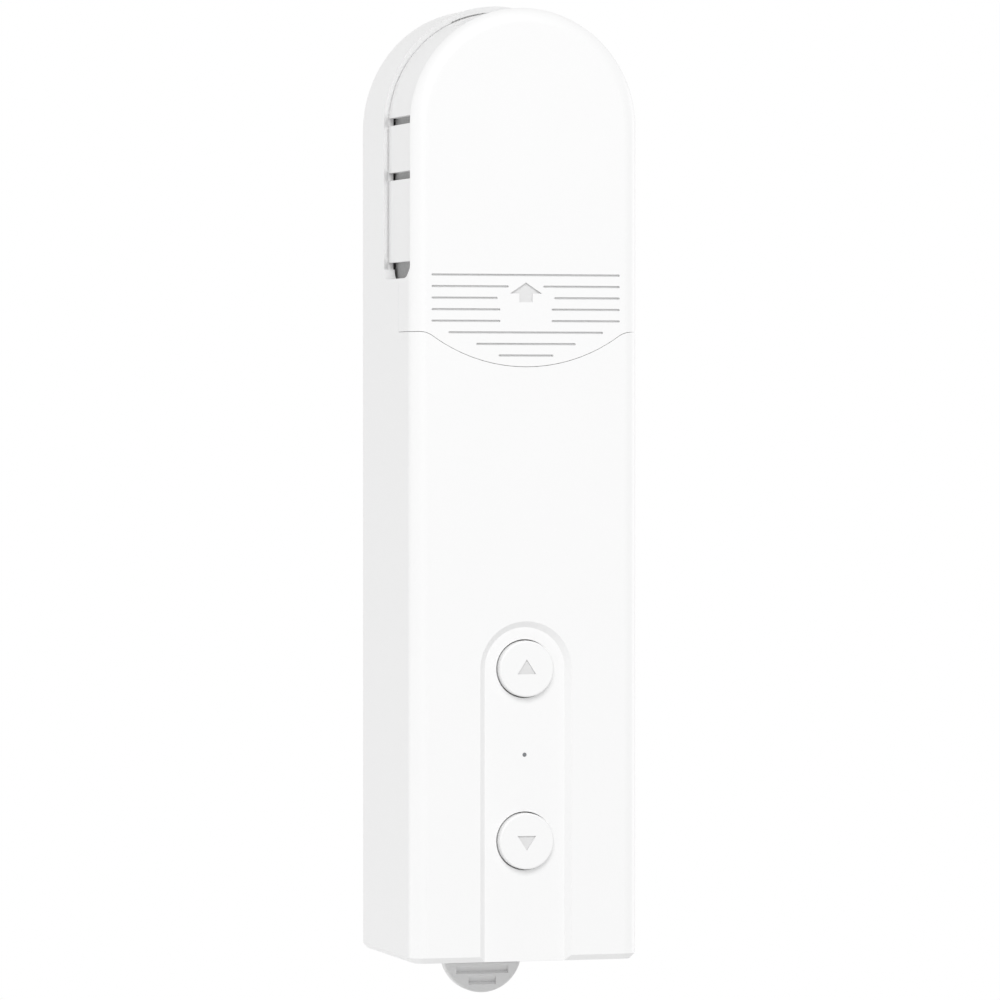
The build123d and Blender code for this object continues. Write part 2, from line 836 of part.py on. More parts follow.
def toothed_outline(teeth, points, scale=1.0):
    """The closed outline of a gear from one flank, with a tooth centred on the x axis."""
    outline = []
    for tooth in range(teeth):
        centre = 2 * math.pi * tooth / teeth
        for radius, half in points:
            outline.append((radius, centre - half))
        for radius, half in reversed(points):
            outline.append((radius, centre + half))
    return [(scale * r * math.cos(a), scale * r * math.sin(a)) for r, a in outline]


def spur_gear(teeth, width, bore, backlash=planet_backlash):
    points = flank(teeth, planet_module, planet_addendum, planet_dedendum, backlash, 5)
    gear = extrude(polygon(toothed_outline(teeth, points)), amount=width)
    return gear - rod_z(bore, -past, width + past, 0, 0)


def bevel_gear(teeth, mate_teeth, bore, hub_radius, hub_length):
    """A straight bevel gear with its cone's apex at the origin and its axis along +Z."""
    pitch = bevel_module * teeth / 2
    axial = bevel_module * mate_teeth / 2
    sine = pitch / cone_distance
    cosine = axial / cone_distance
    virtual = teeth / cosine
    points = []
    for radius, half in flank(virtual, bevel_module, bevel_addendum, bevel_dedendum, bevel_backlash, 5):
        height = radius - virtual * bevel_module / 2
        stretch = axial / (axial - height * sine)
        points.append(((pitch + height * cosine) * stretch, half / cosine))
    small = (cone_distance - bevel_face) / cone_distance
    ends = []
    for scale in (small * 0.8, 1.4):
        outline = toothed_outline(teeth, points, scale)
        ends.append(Pos(0, 0, axial * scale) * polygon(outline))
    teeth_cone = loft([ends[0].faces()[0], ends[1].faces()[0]], ruled=True)
    addendum = bevel_addendum * bevel_module
    dedendum = bevel_dedendum * bevel_module
    tip = (pitch + addendum * cosine, axial - addendum * sine)
    root = (pitch - dedendum * cosine, axial + dedendum * sine)
    blank = polygon([
        tip, (tip[0] * small, tip[1] * small), (root[0] * small, root[1] * small),
        (0, root[1] * small), (0, root[1]), root,
    ])
    gear = teeth_cone & revolve(Plane.XZ * blank, Axis.Z)
    gear += rod_z(hub_radius, root[1] - overlap / 2, root[1] + hub_length, 0, 0)
    return gear - rod_z(bore, 0, root[1] + hub_length + past, 0, 0)


# Chain wheel: pockets for the beads, with a groove between them for the cord
def chain_wheel():
    wheel = rod_y(wheel_radius, wheel_front, wheel_back, 0, wheel_height)
    pocket_radius = bead_diameter / 2 + pocket_gap
    groove = rod_y(
        wheel_radius + past, bead_plane - cord_groove / 2, bead_plane + cord_groove / 2, 0, wheel_height
    )
    groove -= rod_y(pitch_radius - cord_groove_depth, wheel_front, wheel_back, 0, wheel_height)
    wheel -= groove
    for pocket in range(bead_pockets):
        turn = Pos(0, bead_plane, wheel_height) * Rot(0, 360 * pocket / bead_pockets, 0)
        wheel -= turn * Pos(pitch_radius, 0, 0) * Sphere(pocket_radius)
        wheel -= turn * rod_x(pocket_radius, pitch_radius, wheel_radius + past, 0, 0)
    return wheel - rod_y(wheel_shaft_radius, wheel_front - past, wheel_back + past, 0, wheel_height)


def wheel_shaft():
    back = drive_plate_front() + drive_plate_thickness + wheel_shaft_end
    shaft = rod_y(wheel_shaft_radius, wheel_front + wheel_shaft_set, back, 0, wheel_height)
    depth = wheel_front + wheel_screw_length + screw_floor
    return shaft - rod_y(wheel_screw_radius, 0, depth, 0, wheel_height)


def wheel_screw():
    head = rod_y(
        wheel_screw_head, wheel_front - wheel_screw_head_height, wheel_front, 0, wheel_height
    )
    head += rod_y(
        wheel_screw_radius, wheel_front - overlap, wheel_front + wheel_screw_length, 0, wheel_height
    )
    return head - box(
        -wheel_screw_head, wheel_screw_head, wheel_front - 2 * wheel_screw_head_height,
        wheel_front - wheel_screw_head_height / 2,
        wheel_height - driver_slot / 2, wheel_height + driver_slot / 2,
    )


def at_drive(solid, z=0.0):
    return Pos(0, drive_depth, z) * solid


# Gearbox
def gear_case():
    case = rod_z(motor_radius, motor_top, case_top, 0, 0)
    points = flank(
        ring_teeth, planet_module, planet_dedendum, planet_addendum, -planet_backlash, 5
    )
    teeth = extrude(polygon(toothed_outline(ring_teeth, points)), amount=case_top)
    case -= Pos(0, 0, motor_top + case_floor) * teeth
    case -= rod_z(motor_bush_radius + fit_gap, motor_top - past, case_top, 0, 0)
    return at_drive(case)


def gearbox_cap():
    cap = rod_z(motor_radius, case_top, shoulder, 0, 0)
    half = case_cap_flange_width / 2
    plate = RectangleRounded(2 * half, case_cap_flange_depth, screw_head_radius)
    cap += Pos(0, 0, shoulder) * extrude(plate, amount=case_cap_flange)
    cap -= rod_z(output_bush_radius(), case_top - past, shoulder + case_cap_flange + past, 0, 0)
    for x in (-cap_screw_x(), cap_screw_x()):
        cap -= rod_z(screw_radius + screw_gap, case_top - past, shoulder + case_cap_flange + past, x, 0)
    return at_drive(cap)


def output_bush_radius():
    return output_shaft_radius + running_gap + output_bush_wall


def output_bush():
    ring = rod_z(output_bush_radius(), case_top + output_bush_lift, shoulder + case_cap_flange, 0, 0)
    return at_drive(
        ring - rod_z(output_shaft_radius + running_gap, 0, shoulder + case_cap_flange + past, 0, 0)
    )


def carrier(bottom, face):
    """A carrier plate with its planet pins hanging below it."""
    plate = rod_z(carrier_radius, bottom, bottom + carrier_plate, 0, 0)
    for planet in range(planets):
        pin = rod_z(planet_pin_radius, bottom - stage_gap - face, bottom + overlap, orbit_radius, 0)
        plate += Rot(0, 0, 360 * planet / planets) * pin
    return plate


def input_carrier():
    part = carrier(input_carrier_bottom, input_face)
    sun = spur_gear(sun_teeth, output_face + stage_gap + overlap, centre_pin_radius + running_gap)
    part -= rod_z(centre_pin_radius + running_gap, input_carrier_bottom + centre_pin_floor, shoulder, 0, 0)
    part += Pos(0, 0, output_stage - stage_gap - overlap) * sun
    return at_drive(part)


def output_carrier():
    part = carrier(output_carrier_bottom, output_face)
    part += rod_z(centre_pin_radius, output_stage, output_carrier_bottom + overlap, 0, 0)
    part += rod_z(output_shaft_radius, output_carrier_bottom, pinion_bottom + output_shaft_end, 0, 0)
    return at_drive(part)


def planet(number, bottom, face):
    turn = 360 * number / planets
    gear = spur_gear(planet_teeth, face, planet_pin_radius + running_gap)
    return at_drive(Rot(0, 0, turn) * Pos(orbit_radius, 0, bottom) * gear)


# Motor
def motor_can():
    can = rod_z(motor_radius, motor_can_bottom, motor_top, 0, 0)
    can -= rod_z(
        motor_radius - motor_can_wall, motor_can_bottom - past, motor_top - motor_can_wall, 0, 0
    )
    return at_drive(can - rod_z(motor_bush_radius, motor_top - past, motor_top + past, 0, 0))


def motor_bush():
    ring = rod_z(motor_bush_radius, motor_top - motor_bush_length, motor_top + motor_bush_proud, 0, 0)
    return at_drive(ring - rod_z(motor_shaft_radius + running_gap, 0, body_height, 0, 0))


def motor_magnets():
    outer = motor_radius - motor_can_wall
    bottom = motor_can_bottom + magnet_lift
    ring = Circle(outer) - Circle(magnet_inner_radius)
    reach = 2 * motor_radius
    spread = math.radians(magnet_angle / 2)
    wedge = polygon([
        (0, 0), (reach * math.cos(spread), -reach * math.sin(spread)),
        (2 * reach, -reach * math.sin(spread)), (2 * reach, reach * math.sin(spread)),
        (reach * math.cos(spread), reach * math.sin(spread)),
    ])
    magnet = extrude(ring & wedge, amount=rotor_length + magnet_extra)
    return at_drive(both_sides(Pos(0, 0, bottom) * magnet))


def motor_end_cap():
    cap = rod_z(motor_radius, motor_bottom, motor_can_bottom, 0, 0)
    cap += rod_z(
        motor_radius - motor_can_wall, motor_can_bottom - overlap, motor_can_bottom + motor_cap_spigot, 0, 0
    )
    cap -= rod_z(motor_shaft_radius + running_gap, 0, body_height, 0, 0)
    cap -= rod_z(
        commutator_radius + past, motor_can_bottom, motor_can_bottom + motor_cap_spigot + past, 0, 0
    )
    return at_drive(cap)


def rotor_shaft():
    return at_drive(
        rod_z(
            motor_shaft_radius, encoder_magnet_bottom + encoder_magnet_floor, input_stage + input_face, 0, 0
        )
    )


def rotor_core():
    core = rod_z(rotor_radius, core_bottom(), core_bottom() + rotor_length, 0, 0)
    for pole in range(rotor_poles):
        slot = box(
            rotor_radius - rotor_slot_depth, rotor_radius + past, -rotor_slot_width / 2,
            rotor_slot_width / 2, core_bottom() - past, core_bottom() + rotor_length + past,
        )
        core -= Rot(0, 0, 360 * pole / rotor_poles) * slot
    core += rod_z(commutator_radius, motor_can_bottom + commutator_lift, core_bottom() + overlap, 0, 0)
    return at_drive(core - rod_z(motor_shaft_radius, 0, body_height, 0, 0))


def core_bottom():
    return motor_can_bottom + commutator_lift + commutator_length


def motor_pinion():
    return at_drive(Pos(0, 0, input_stage) * spur_gear(sun_teeth, input_face, motor_shaft_radius))


def encoder_magnet():
    magnet = rod_z(
        encoder_magnet_radius, encoder_magnet_bottom, encoder_magnet_bottom + encoder_magnet_height, 0, 0
    )
    return at_drive(magnet - rotor_shaft_place())


def rotor_shaft_place():
    return rod_z(motor_shaft_radius, encoder_magnet_bottom + encoder_magnet_floor, motor_top, 0, 0)


def encoder_board():
    top = encoder_board_bottom + board_thickness
    board = box(
        -encoder_board_half, encoder_board_half, -encoder_board_half, encoder_board_half,
        encoder_board_bottom, top,
    )
    for x in (-1, 1):
        board += rod_z(
            encoder_post_radius, encoder_board_bottom, motor_bottom,
            x * (encoder_board_half - encoder_post_inset), 0,
        )
    return at_drive(board)


def motor_damper():
    bottom = motor_can_bottom + damper_lift
    ring = rod_z(motor_radius + damper_wall, bottom, bottom + damper_height, 0, 0)
    return at_drive(ring - rod_z(motor_radius, bottom - past, bottom + damper_height + past, 0, 0))


# Batteries
def cell(side):
    x = side * cell_x
    body = rod_z(cell_diameter / 2, cell_bottom, cell_bottom + cell_length, x, cell_depth)
    body = fillet(body.edges(), cell_edge_radius)
    top = cell_bottom + cell_length
    if side > 0:
        return body + rod_z(cell_cap_radius, top - overlap, top + cell_cap_height, x, cell_depth)
    return body + rod_z(cell_cap_radius * 1.6, top - overlap, top + cell_cap_height, x, cell_depth)


def cell_links():
    reach = cell_x + cell_cap_radius
    links = box(
        -reach, reach, cell_depth - link_half_width, cell_depth + link_half_width,
        cell_bottom - link_thickness, cell_bottom,
    )
    for side in (-1, 1):
        links += Pos(side * cell_x, cell_depth, cell_top + link_thickness / 2) * Box(
            2 * link_half_width, top_link_length, link_thickness
        )
    return links


def battery_tray():
    outer = half_inside - cell_clearance
    inner = outer - tray_wall
    front = cell_depth - tray_lip
    tray = box(-outer, outer, front, tray_back + tray_wall, tray_bottom, tray_top)
    tray -= box(
        -inner, inner, front - past, tray_back, tray_bottom + tray_end_wall, tray_top - tray_end_wall
    )
    ridge = cell_diameter / 2 + cell_clearance / 2
    for side in (-1, 1):
        tray -= rod_z(
            ridge, tray_bottom + tray_end_wall, tray_top - tray_end_wall, side * cell_x, cell_depth
        )
    return tray


# Main board and its parts
def main_board():
    board = box(
        -board_half_width, board_half_width, board_front, board_back, board_bottom, board_top
    )
    for z in (board_boss_low, board_boss_high):
        board -= both_sides(
            rod_y(screw_radius + screw_gap, board_front - past, board_back + past, board_boss_x, z)
        )
    return board


def board_screws():
    screws = Part()
    for z in (board_boss_low, board_boss_high):
        screw = rod_y(screw_head_radius, board_back, board_back + screw_head_height, board_boss_x, z)
        screw += rod_y(screw_radius, front_wall + 2 * screw_floor, board_back + overlap, board_boss_x, z)
        screws += both_sides(cross_slot(screw, board_boss_x, z, board_back + screw_head_height))
    return screws


def cross_slot(screw, x, z, y):
    """A cross recess in a head whose flat top faces the wall."""
    for width, length in ((cross_width, cross_length), (cross_length, cross_width)):
        screw -= Pos(x, y, z) * Box(width, 2 * cross_depth, length)
    return screw


def tact_switches():
    switches = Part()
    for z in (up_button_height, down_button_height):
        half = switch_size / 2
        switches += box(-half, half, board_front - switch_height, board_front, z - half, z + half)
        switches += rod_y(
            switch_plunger_radius, board_front - switch_height - switch_plunger_height,
            board_front - switch_height + overlap / 2, 0, z,
        )
    return switches


def indicator_led():
    half = led_size / 2
    z = indicator_height
    return box(-half, half, board_front - led_height, board_front, z - half, z + half)


def light_pipe():
    tip = rod_y(
        indicator_diameter / 2 - running_gap, channel_depth + light_pipe_sink, front_wall + overlap,
        0, indicator_height,
    )
    return tip + rod_y(
        light_pipe_radius, front_wall, board_front - led_height, 0, indicator_height
    )


def usb_socket():
    centre = board_front - socket_height / 2
    bottom = socket_recess
    outer = Pos(0, centre) * RectangleRounded(socket_width, socket_height, socket_height / 2 - socket_flat)
    inner = Pos(0, centre) * RectangleRounded(
        socket_width - 2 * socket_wall, socket_height - 2 * socket_wall,
        socket_height / 2 - socket_wall - socket_flat,
    )
    socket = Pos(0, 0, bottom) * extrude(outer, amount=socket_length)
    socket -= Pos(0, 0, bottom - past) * extrude(inner, amount=socket_length + past - socket_wall)
    tongue = box(
        -socket_tongue_half, socket_tongue_half, centre - socket_tongue / 2, centre + socket_tongue / 2,
        bottom + socket_recess, bottom + socket_length,
    )
    return socket + tongue


def board_chips():
    chips = Part()
    for x, low, width, length, height in chip_sizes:
        chips += box(
            x - width / 2, x + width / 2, board_back, board_back + height,
            board_bottom + low, board_bottom + low + length,
        )
    return chips


def connector_top():
    return board_top - connector_inset


def board_connectors():
    parts = Part()
    for x in (-connector_x, connector_x):
        parts += box(
            x - connector_half_width, x + connector_half_width,
            board_back, board_back + connector_height,
            connector_top() - connector_length, connector_top(),
        )
    return parts


# Leads from the board to the motor and to the cells
def lead(points, radii):
    path = FilletPolyline(*points, radius=radii)
    section = Plane(origin=path @ 0, z_dir=path % 0) * Circle(lead_radius)
    return sweep(section, path=path)


def motor_leads():
    leads = Part()
    start = connector_top()
    over = motor_bottom - lead_under_motor
    terminal = drive_depth - motor_radius + lead_terminal_inset
    for side in (-1, 1):
        x = -connector_x + side * lead_spacing / 2
        y = board_back + connector_height / 2
        route = [(x, y, start), (x, y, over), (x, terminal, over), (x, terminal, motor_bottom)]
        leads += lead(route, lead_bends)
    return leads


# Wall bracket with its hooks, and the release tab that latches the housing onto it
def wall_bracket():
    back = body_depth
    top = bracket_bottom + bracket_length
    bracket = box(-bracket_half_width, bracket_half_width, back - bracket_base, back, bracket_bottom, top)
    bracket += both_sides(
        box(
            bracket_half_width - bracket_flange, bracket_half_width, bracket_front, back,
            bracket_bottom, top,
        )
    )
    for low in (hook_low, hook_high):
        z = bracket_bottom + low
        bracket += both_sides(
            box(
                bracket_half_width - overlap, bracket_half_width + bracket_side_gap + hook_out - fit_gap,
                bracket_front, bracket_front + hook_depth, z, z + hook_height,
            )
        )
    for side in (-1, 1):
        z = bracket_middle + side * bracket_hole_spacing / 2
        bracket -= rod_y(bracket_hole_radius, back - bracket_base - past, back + past, 0, z)
    window_half = tab_radius + tab_end_gap
    bracket -= box(
        -window_half, window_half, back - 2 * bracket_base, back + past,
        bracket_bottom - past, tab_pivot_height + tab_barrel_radius + tab_end_gap,
    )
    bracket -= rod_x(
        tab_pin_radius, -bracket_half_width - past, bracket_half_width + past,
        tab_pivot_depth, tab_pivot_height,
    )
    return bracket


def release_tab():
    width = tab_radius
    top = tab_pivot_height
    straight = Pos(0, (top - tab_drop) / 2) * Rectangle(2 * width, top + tab_drop)
    face = straight + Pos(0, -tab_drop) * Circle(width)
    tab = slab(face, tab_front_depth, tab_back_depth)
    tab = fillet(
        tab.faces().sort_by(Axis.Y)[0].edges().filter_by(lambda e: e.center().Z < 0), tab_edge_radius
    )
    tab += rod_x(tab_barrel_radius, -width, width, tab_pivot_depth, tab_pivot_height)
    tab += box(
        -width, width, tab_front_depth, tab_pivot_depth,
        tab_pivot_height - tab_barrel_radius, tab_pivot_height + tab_barrel_radius,
    )
    tab += box(
        -tab_lug_half_width, tab_lug_half_width, tab_front_depth - tab_lug_reach,
        tab_front_depth + overlap, tab_lug_low, tab_lug_low + tab_lug_height,
    )
    front = tab_front_depth
    for half, z in zip(tab_groove_half_widths, tab_groove_tops):
        deepest = z - tab_groove_height
        low = deepest - tab_groove_lip
        notch = polygon([
            (front - past, z), (front, z), (front + tab_groove_depth, deepest), (front, low),
            (front - past, low),
        ])
        tab -= Pos(-half, 0, 0) * extrude(Plane.YZ * notch, amount=2 * half)
    return tab - rod_x(
        tab_pin_radius + running_gap, -width - past, width + past, tab_pivot_depth, tab_pivot_height
    )


def tab_pin():
    return rod_x(
        tab_pin_radius, -bracket_half_width, bracket_half_width, tab_pivot_depth, tab_pivot_height
    )


def tab_spring():
    """A steel leaf fixed to the edge of the bracket's window, with its foot behind the tab."""
    low = tab_pivot_height - spring_below_pivot
    high = tab_pivot_height + tab_barrel_radius + tab_end_gap
    back = body_depth - fit_gap
    leaf = box(-spring_half_width, spring_half_width, back - spring_leaf, back, low, high)
    return leaf + box(
        -spring_half_width, spring_half_width, tab_back_depth + spring_gap, back, low, low + spring_leaf
    )


# Buttons
def button(height, direction):
    front = channel_depth - button_proud
    cap = rod_y(button_diameter / 2, front, button_back + overlap, 0, height)
    cap = fillet(cap.edges().sort_by(Axis.Y)[0], button_edge_radius)
    flange = button_diameter / 2 + button_flange
    cap += rod_y(flange, button_back, button_back + button_flange_thickness, 0, height)
    stem_end = button_back + button_flange_thickness + button_stem_length
    cap += rod_y(button_stem_radius, button_back, stem_end, 0, height)
    tip = height + direction * (triangle_height / 2 + triangle_shift)
    foot = height - direction * (triangle_height / 2 - triangle_shift)
    mark = polygon([(0, tip), (triangle_half_width, foot), (-triangle_half_width, foot)])
    return cap - slab(mark, front - past, front + triangle_depth)


# Screws
def back_screws():
    screws = Part()
    top = body_depth - back_screw_sink
    for x, z in back_boss_places():
        screw = rod_y(back_screw_head_radius, top - screw_head_height, top, x, z)
        screw += rod_y(back_screw_radius, back_plate_front - back_screw_length + past, top - overlap, x, z)
        screws += both_sides(cross_slot(screw, x, z, top))
    return screws


def drive_screws():
    screws = Part()
    back = drive_plate_front() + drive_plate_thickness
    for x, z in drive_post_places():
        screw = rod_y(screw_head_radius, back, back + screw_head_height, x, z)
        screw += rod_y(screw_radius, back - drive_screw_length, back + overlap, x, z)
        screws += cross_slot(screw, x, z, back + screw_head_height)
    return screws


def frame_screws():
    screws = Part()
    top = frame_bottom + frame_wall
    for x in (-frame_foot_x(), frame_foot_x()):
        screws += rod_z(screw_head_radius, top, top + screw_head_height, x, frame_foot_y())
        screws += rod_z(screw_radius, shoulder - shoulder_wall, top + overlap, x, frame_foot_y())
    return screws


def cap_screws():
    screws = Part()
    top = shoulder + case_cap_flange
    for x in (-cap_screw_x(), cap_screw_x()):
        screws += rod_z(screw_head_radius, top, top + screw_head_height, x, drive_depth)
        screws += rod_z(screw_radius, shoulder - shoulder_wall, top + overlap, x, drive_depth)
    return screws


def build():
    form = body_form()
    apex = Pos(0, drive_depth, wheel_height)
    front_bush_back = mid_wall_back + bush_boss_length
    plate_front = drive_plate_front()
    nodes = {
        "main_housing": main_housing(form),
        "back_plate": back_plate(form),
        "chain_cover": chain_cover(form),
        "inner_frame": inner_frame(),
        "chain_wheel": chain_wheel(),
        "wheel_shaft": wheel_shaft(),
        "wheel_screw": wheel_screw(),
        "front_bush": bush(mid_wall_front, front_bush_back, mid_wall_front),
        "rear_bush": bush(
            plate_front - bush_flange_thickness, plate_front + drive_plate_thickness,
            plate_front - bush_flange_thickness,
        ),
        "drive_bracket": drive_bracket(),
        "bevel_gear": apex * Rot(-90, 0, 0) * bevel_gear(
            bevel_gear_teeth, bevel_pinion_teeth, wheel_shaft_radius, bevel_gear_hub,
            bevel_gear_hub_length,
        ),
        "bevel_pinion": apex * Rot(180, 0, 0) * bevel_gear(
            bevel_pinion_teeth, bevel_gear_teeth, output_shaft_radius, bevel_pinion_hub,
            pinion_stand_off - pinion_hub_gap,
        ),
        "output_carrier": output_carrier(),
        "input_carrier": input_carrier(),
        "gear_case": gear_case(),
        "gearbox_cap": gearbox_cap(),
        "output_bush": output_bush(),
        "motor_can": motor_can(),
        "motor_bush": motor_bush(),
        "motor_magnets": motor_magnets(),
        "motor_end_cap": motor_end_cap(),
        "motor_damper": motor_damper(),
        "rotor_shaft": rotor_shaft(),
        "rotor_core": rotor_core(),
        "motor_pinion": motor_pinion(),
        "encoder_magnet": encoder_magnet(),
        "encoder_board": encoder_board(),
        "cell_left": cell(-1),
        "cell_right": cell(1),
        "cell_links": cell_links(),
        "battery_tray": battery_tray(),
        "main_board": main_board(),
        "board_screws": board_screws(),
        "tact_switches": tact_switches(),
        "indicator_led": indicator_led(),
        "light_pipe": light_pipe(),
        "usb_socket": usb_socket(),
        "board_chips": board_chips(),
        "board_connectors": board_connectors(),
        "motor_leads": motor_leads(),
        "up_button": button(up_button_height, 1),
        "down_button": button(down_button_height, -1),
        "wall_bracket": wall_bracket(),
        "release_tab": release_tab(),
        "tab_pin": tab_pin(),
        "tab_spring": tab_spring(),
        "back_screws": back_screws(),
        "drive_screws": drive_screws(),
        "frame_screws": frame_screws(),
        "cap_screws": cap_screws(),
    }
    for number in range(planets):
        nodes[f"input_planet_{number + 1}"] = planet(number, input_stage, input_face)
        nodes[f"output_planet_{number + 1}"] = planet(number, output_stage, output_face)
    return nodes


# The origin is on the wall plane, midway between the bracket's two screw holes
os.makedirs("parts", exist_ok=True)
to_wall = Pos(0, -body_depth, -bracket_middle)
for name, solid in build().items():
    export_step(to_wall * solid, f"parts/{name}.step")
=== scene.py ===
import math

import bmesh
import bpy
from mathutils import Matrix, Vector


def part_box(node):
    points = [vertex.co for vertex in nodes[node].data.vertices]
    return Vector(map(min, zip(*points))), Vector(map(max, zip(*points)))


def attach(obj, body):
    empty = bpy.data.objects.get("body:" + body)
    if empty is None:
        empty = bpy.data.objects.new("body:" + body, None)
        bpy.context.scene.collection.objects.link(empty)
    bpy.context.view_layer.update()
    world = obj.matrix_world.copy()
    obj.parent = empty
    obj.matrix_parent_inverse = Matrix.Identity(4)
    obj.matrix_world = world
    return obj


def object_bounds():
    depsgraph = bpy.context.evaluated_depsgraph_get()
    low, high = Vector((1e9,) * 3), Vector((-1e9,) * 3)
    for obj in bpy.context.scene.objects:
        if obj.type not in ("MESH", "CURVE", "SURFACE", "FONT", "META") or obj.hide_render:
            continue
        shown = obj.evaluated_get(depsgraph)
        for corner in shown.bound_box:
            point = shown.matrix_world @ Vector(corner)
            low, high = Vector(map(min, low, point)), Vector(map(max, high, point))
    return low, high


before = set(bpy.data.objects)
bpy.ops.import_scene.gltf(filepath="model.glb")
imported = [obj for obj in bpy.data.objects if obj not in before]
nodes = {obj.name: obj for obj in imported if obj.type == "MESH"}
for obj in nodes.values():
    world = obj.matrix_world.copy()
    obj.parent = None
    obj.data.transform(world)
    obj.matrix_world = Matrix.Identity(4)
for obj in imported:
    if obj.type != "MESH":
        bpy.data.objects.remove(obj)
cad_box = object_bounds()
bpy.context.scene.view_settings.view_transform = "Standard"

# Camera
# The view from the left front, a little above the middle of the motor, through a long lens that
# keeps its upright edges nearly parallel. Its place is given in the frame of the wall bracket.
camera_place = Vector((-0.3213, -1.1494, 0.0386))
camera_turn = math.radians(-15.87)
camera_dip = math.radians(0.844)
camera = bpy.data.objects.new("camera", bpy.data.cameras.new("camera"))
camera.data.lens = 217.58
camera.data.sensor_width = 36.0
camera.data.clip_start = 0.05
camera.data.clip_end = 20.0
camera.location = camera_place
camera.rotation_euler = (math.pi / 2 - camera_dip, 0, camera_turn)
bpy.context.collection.objects.link(camera)
bpy.context.scene.camera = camera


# Moulded shell: the housing, its back plate and the frame inside it
# White ABS with a fine satin texture from the mould. The texture is a shallow even grain, with
# a slow change of tone and gloss across each wall, where the plastic flowed and cooled.
def link(tree, source, target):
    tree.links.new(source, target)


def node(tree, kind, inputs=None, **settings):
    """Adds a node. An input, by name or number, gets a plain value, or a link from a socket or
    from the first output of a node."""
    made = tree.nodes.new(kind)
    for key, value in settings.items():
        setattr(made, key, value)
    for key, value in (inputs or {}).items():
        if isinstance(value, bpy.types.Node):
            value = value.outputs[0]
        if isinstance(value, bpy.types.NodeSocket):
            link(tree, value, made.inputs[key])
        else:
            made.inputs[key].default_value = value
    return made


def calculate(tree, operation, *values):
    return node(tree, "ShaderNodeMath", dict(enumerate(values)), operation=operation)


def new_tree(name, kind, inputs, outputs):
    """A node group with its named inputs and outputs, each given by its name and type."""
    tree = bpy.data.node_groups.new(name, kind)
    for label, socket_type, value in inputs:
        socket = tree.interface.new_socket(label, in_out="INPUT", socket_type=socket_type)
        if value is not None:
            socket.default_value = value
    for label, socket_type in outputs:
        tree.interface.new_socket(label, in_out="OUTPUT", socket_type=socket_type)
    return tree, node(tree, "NodeGroupInput").outputs, node(tree, "NodeGroupOutput").inputs


def surface_group():
    """Grain and slow tone changes that every moulded, cast or plated surface here shares."""
    tree, given, result = new_tree("surface", "ShaderNodeTree", [
        ("Colour", "NodeSocketColor", (0.8, 0.8, 0.8, 1)),
        ("Roughness", "NodeSocketFloat", 0.5),
        ("Grain Size", "NodeSocketFloat", 0.0003),
        ("Patch Size", "NodeSocketFloat", 0.02),
        ("Tone Change", "NodeSocketFloat", 0.03),
        ("Gloss Change", "NodeSocketFloat", 0.1),
        ("Stretch", "NodeSocketVector", (1, 1, 1)),
    ], [
        ("Colour", "NodeSocketColor"), ("Roughness", "NodeSocketFloat"),
        ("Height", "NodeSocketFloat"),
    ])
    place = node(tree, "ShaderNodeTexCoord").outputs["Object"]
    stretched = node(
        tree, "ShaderNodeVectorMath", {0: place, 1: given["Stretch"]}, operation="MULTIPLY"
    )

    def noise(size, detail):
        scale = calculate(tree, "DIVIDE", 1.0, given[size])
        return node(tree, "ShaderNodeTexNoise", {
            "Vector": stretched, "Scale": scale, "Detail": detail,
        }).outputs["Fac"]

    grain = noise("Grain Size", 2.0)
    patch = noise("Patch Size", 3.0)
    shift = calculate(tree, "SUBTRACT", calculate(tree, "ADD", grain, patch), 1.0)
    tone = calculate(tree, "MULTIPLY_ADD", shift, given["Tone Change"], 1.0)
    gloss = calculate(tree, "MULTIPLY_ADD", shift, given["Gloss Change"], given["Roughness"])
    shade = node(
        tree, "ShaderNodeVectorMath", {0: given["Colour"], "Scale": tone}, operation="SCALE"
    )
    link(tree, shade.outputs[0], result["Colour"])
    link(tree, gloss.outputs[0], result["Roughness"])
    link(tree, grain, result["Height"])
    return tree


surface = surface_group()


def finish(name, colour, grain_height, metallic=0.0, **values):
    """A material whose colour, gloss and relief come from the surface group."""
    material = bpy.data.materials.new(name)
    material.use_nodes = True
    tree = material.node_tree
    shader = tree.nodes["Principled BSDF"]
    shader.inputs["Metallic"].default_value = metallic
    group = node(tree, "ShaderNodeGroup", node_tree=surface)
    group.inputs["Colour"].default_value = (*colour, 1)
    for key, value in values.items():
        group.inputs[key.replace("_", " ").title()].default_value = value
    bump = node(tree, "ShaderNodeBump", {
        "Strength": 1.0, "Distance": grain_height, "Height": group.outputs["Height"],
    })
    link(tree, group.outputs["Colour"], shader.inputs["Base Color"])
    link(tree, group.outputs["Roughness"], shader.inputs["Roughness"])
    link(tree, bump.outputs["Normal"], shader.inputs["Normal"])
    return material


def paint(material, *names):
    for name in names:
        for slot in nodes[name].material_slots:
            slot.material = material


def moulded_white(name):
    return finish(
        name, (0.90, 0.90, 0.90), 0.000004, roughness=0.45, grain_size=0.00035,
        tone_change=0.012, gloss_change=0.08,
    )


paint(moulded_white("white_abs"), "main_housing", "back_plate", "inner_frame")


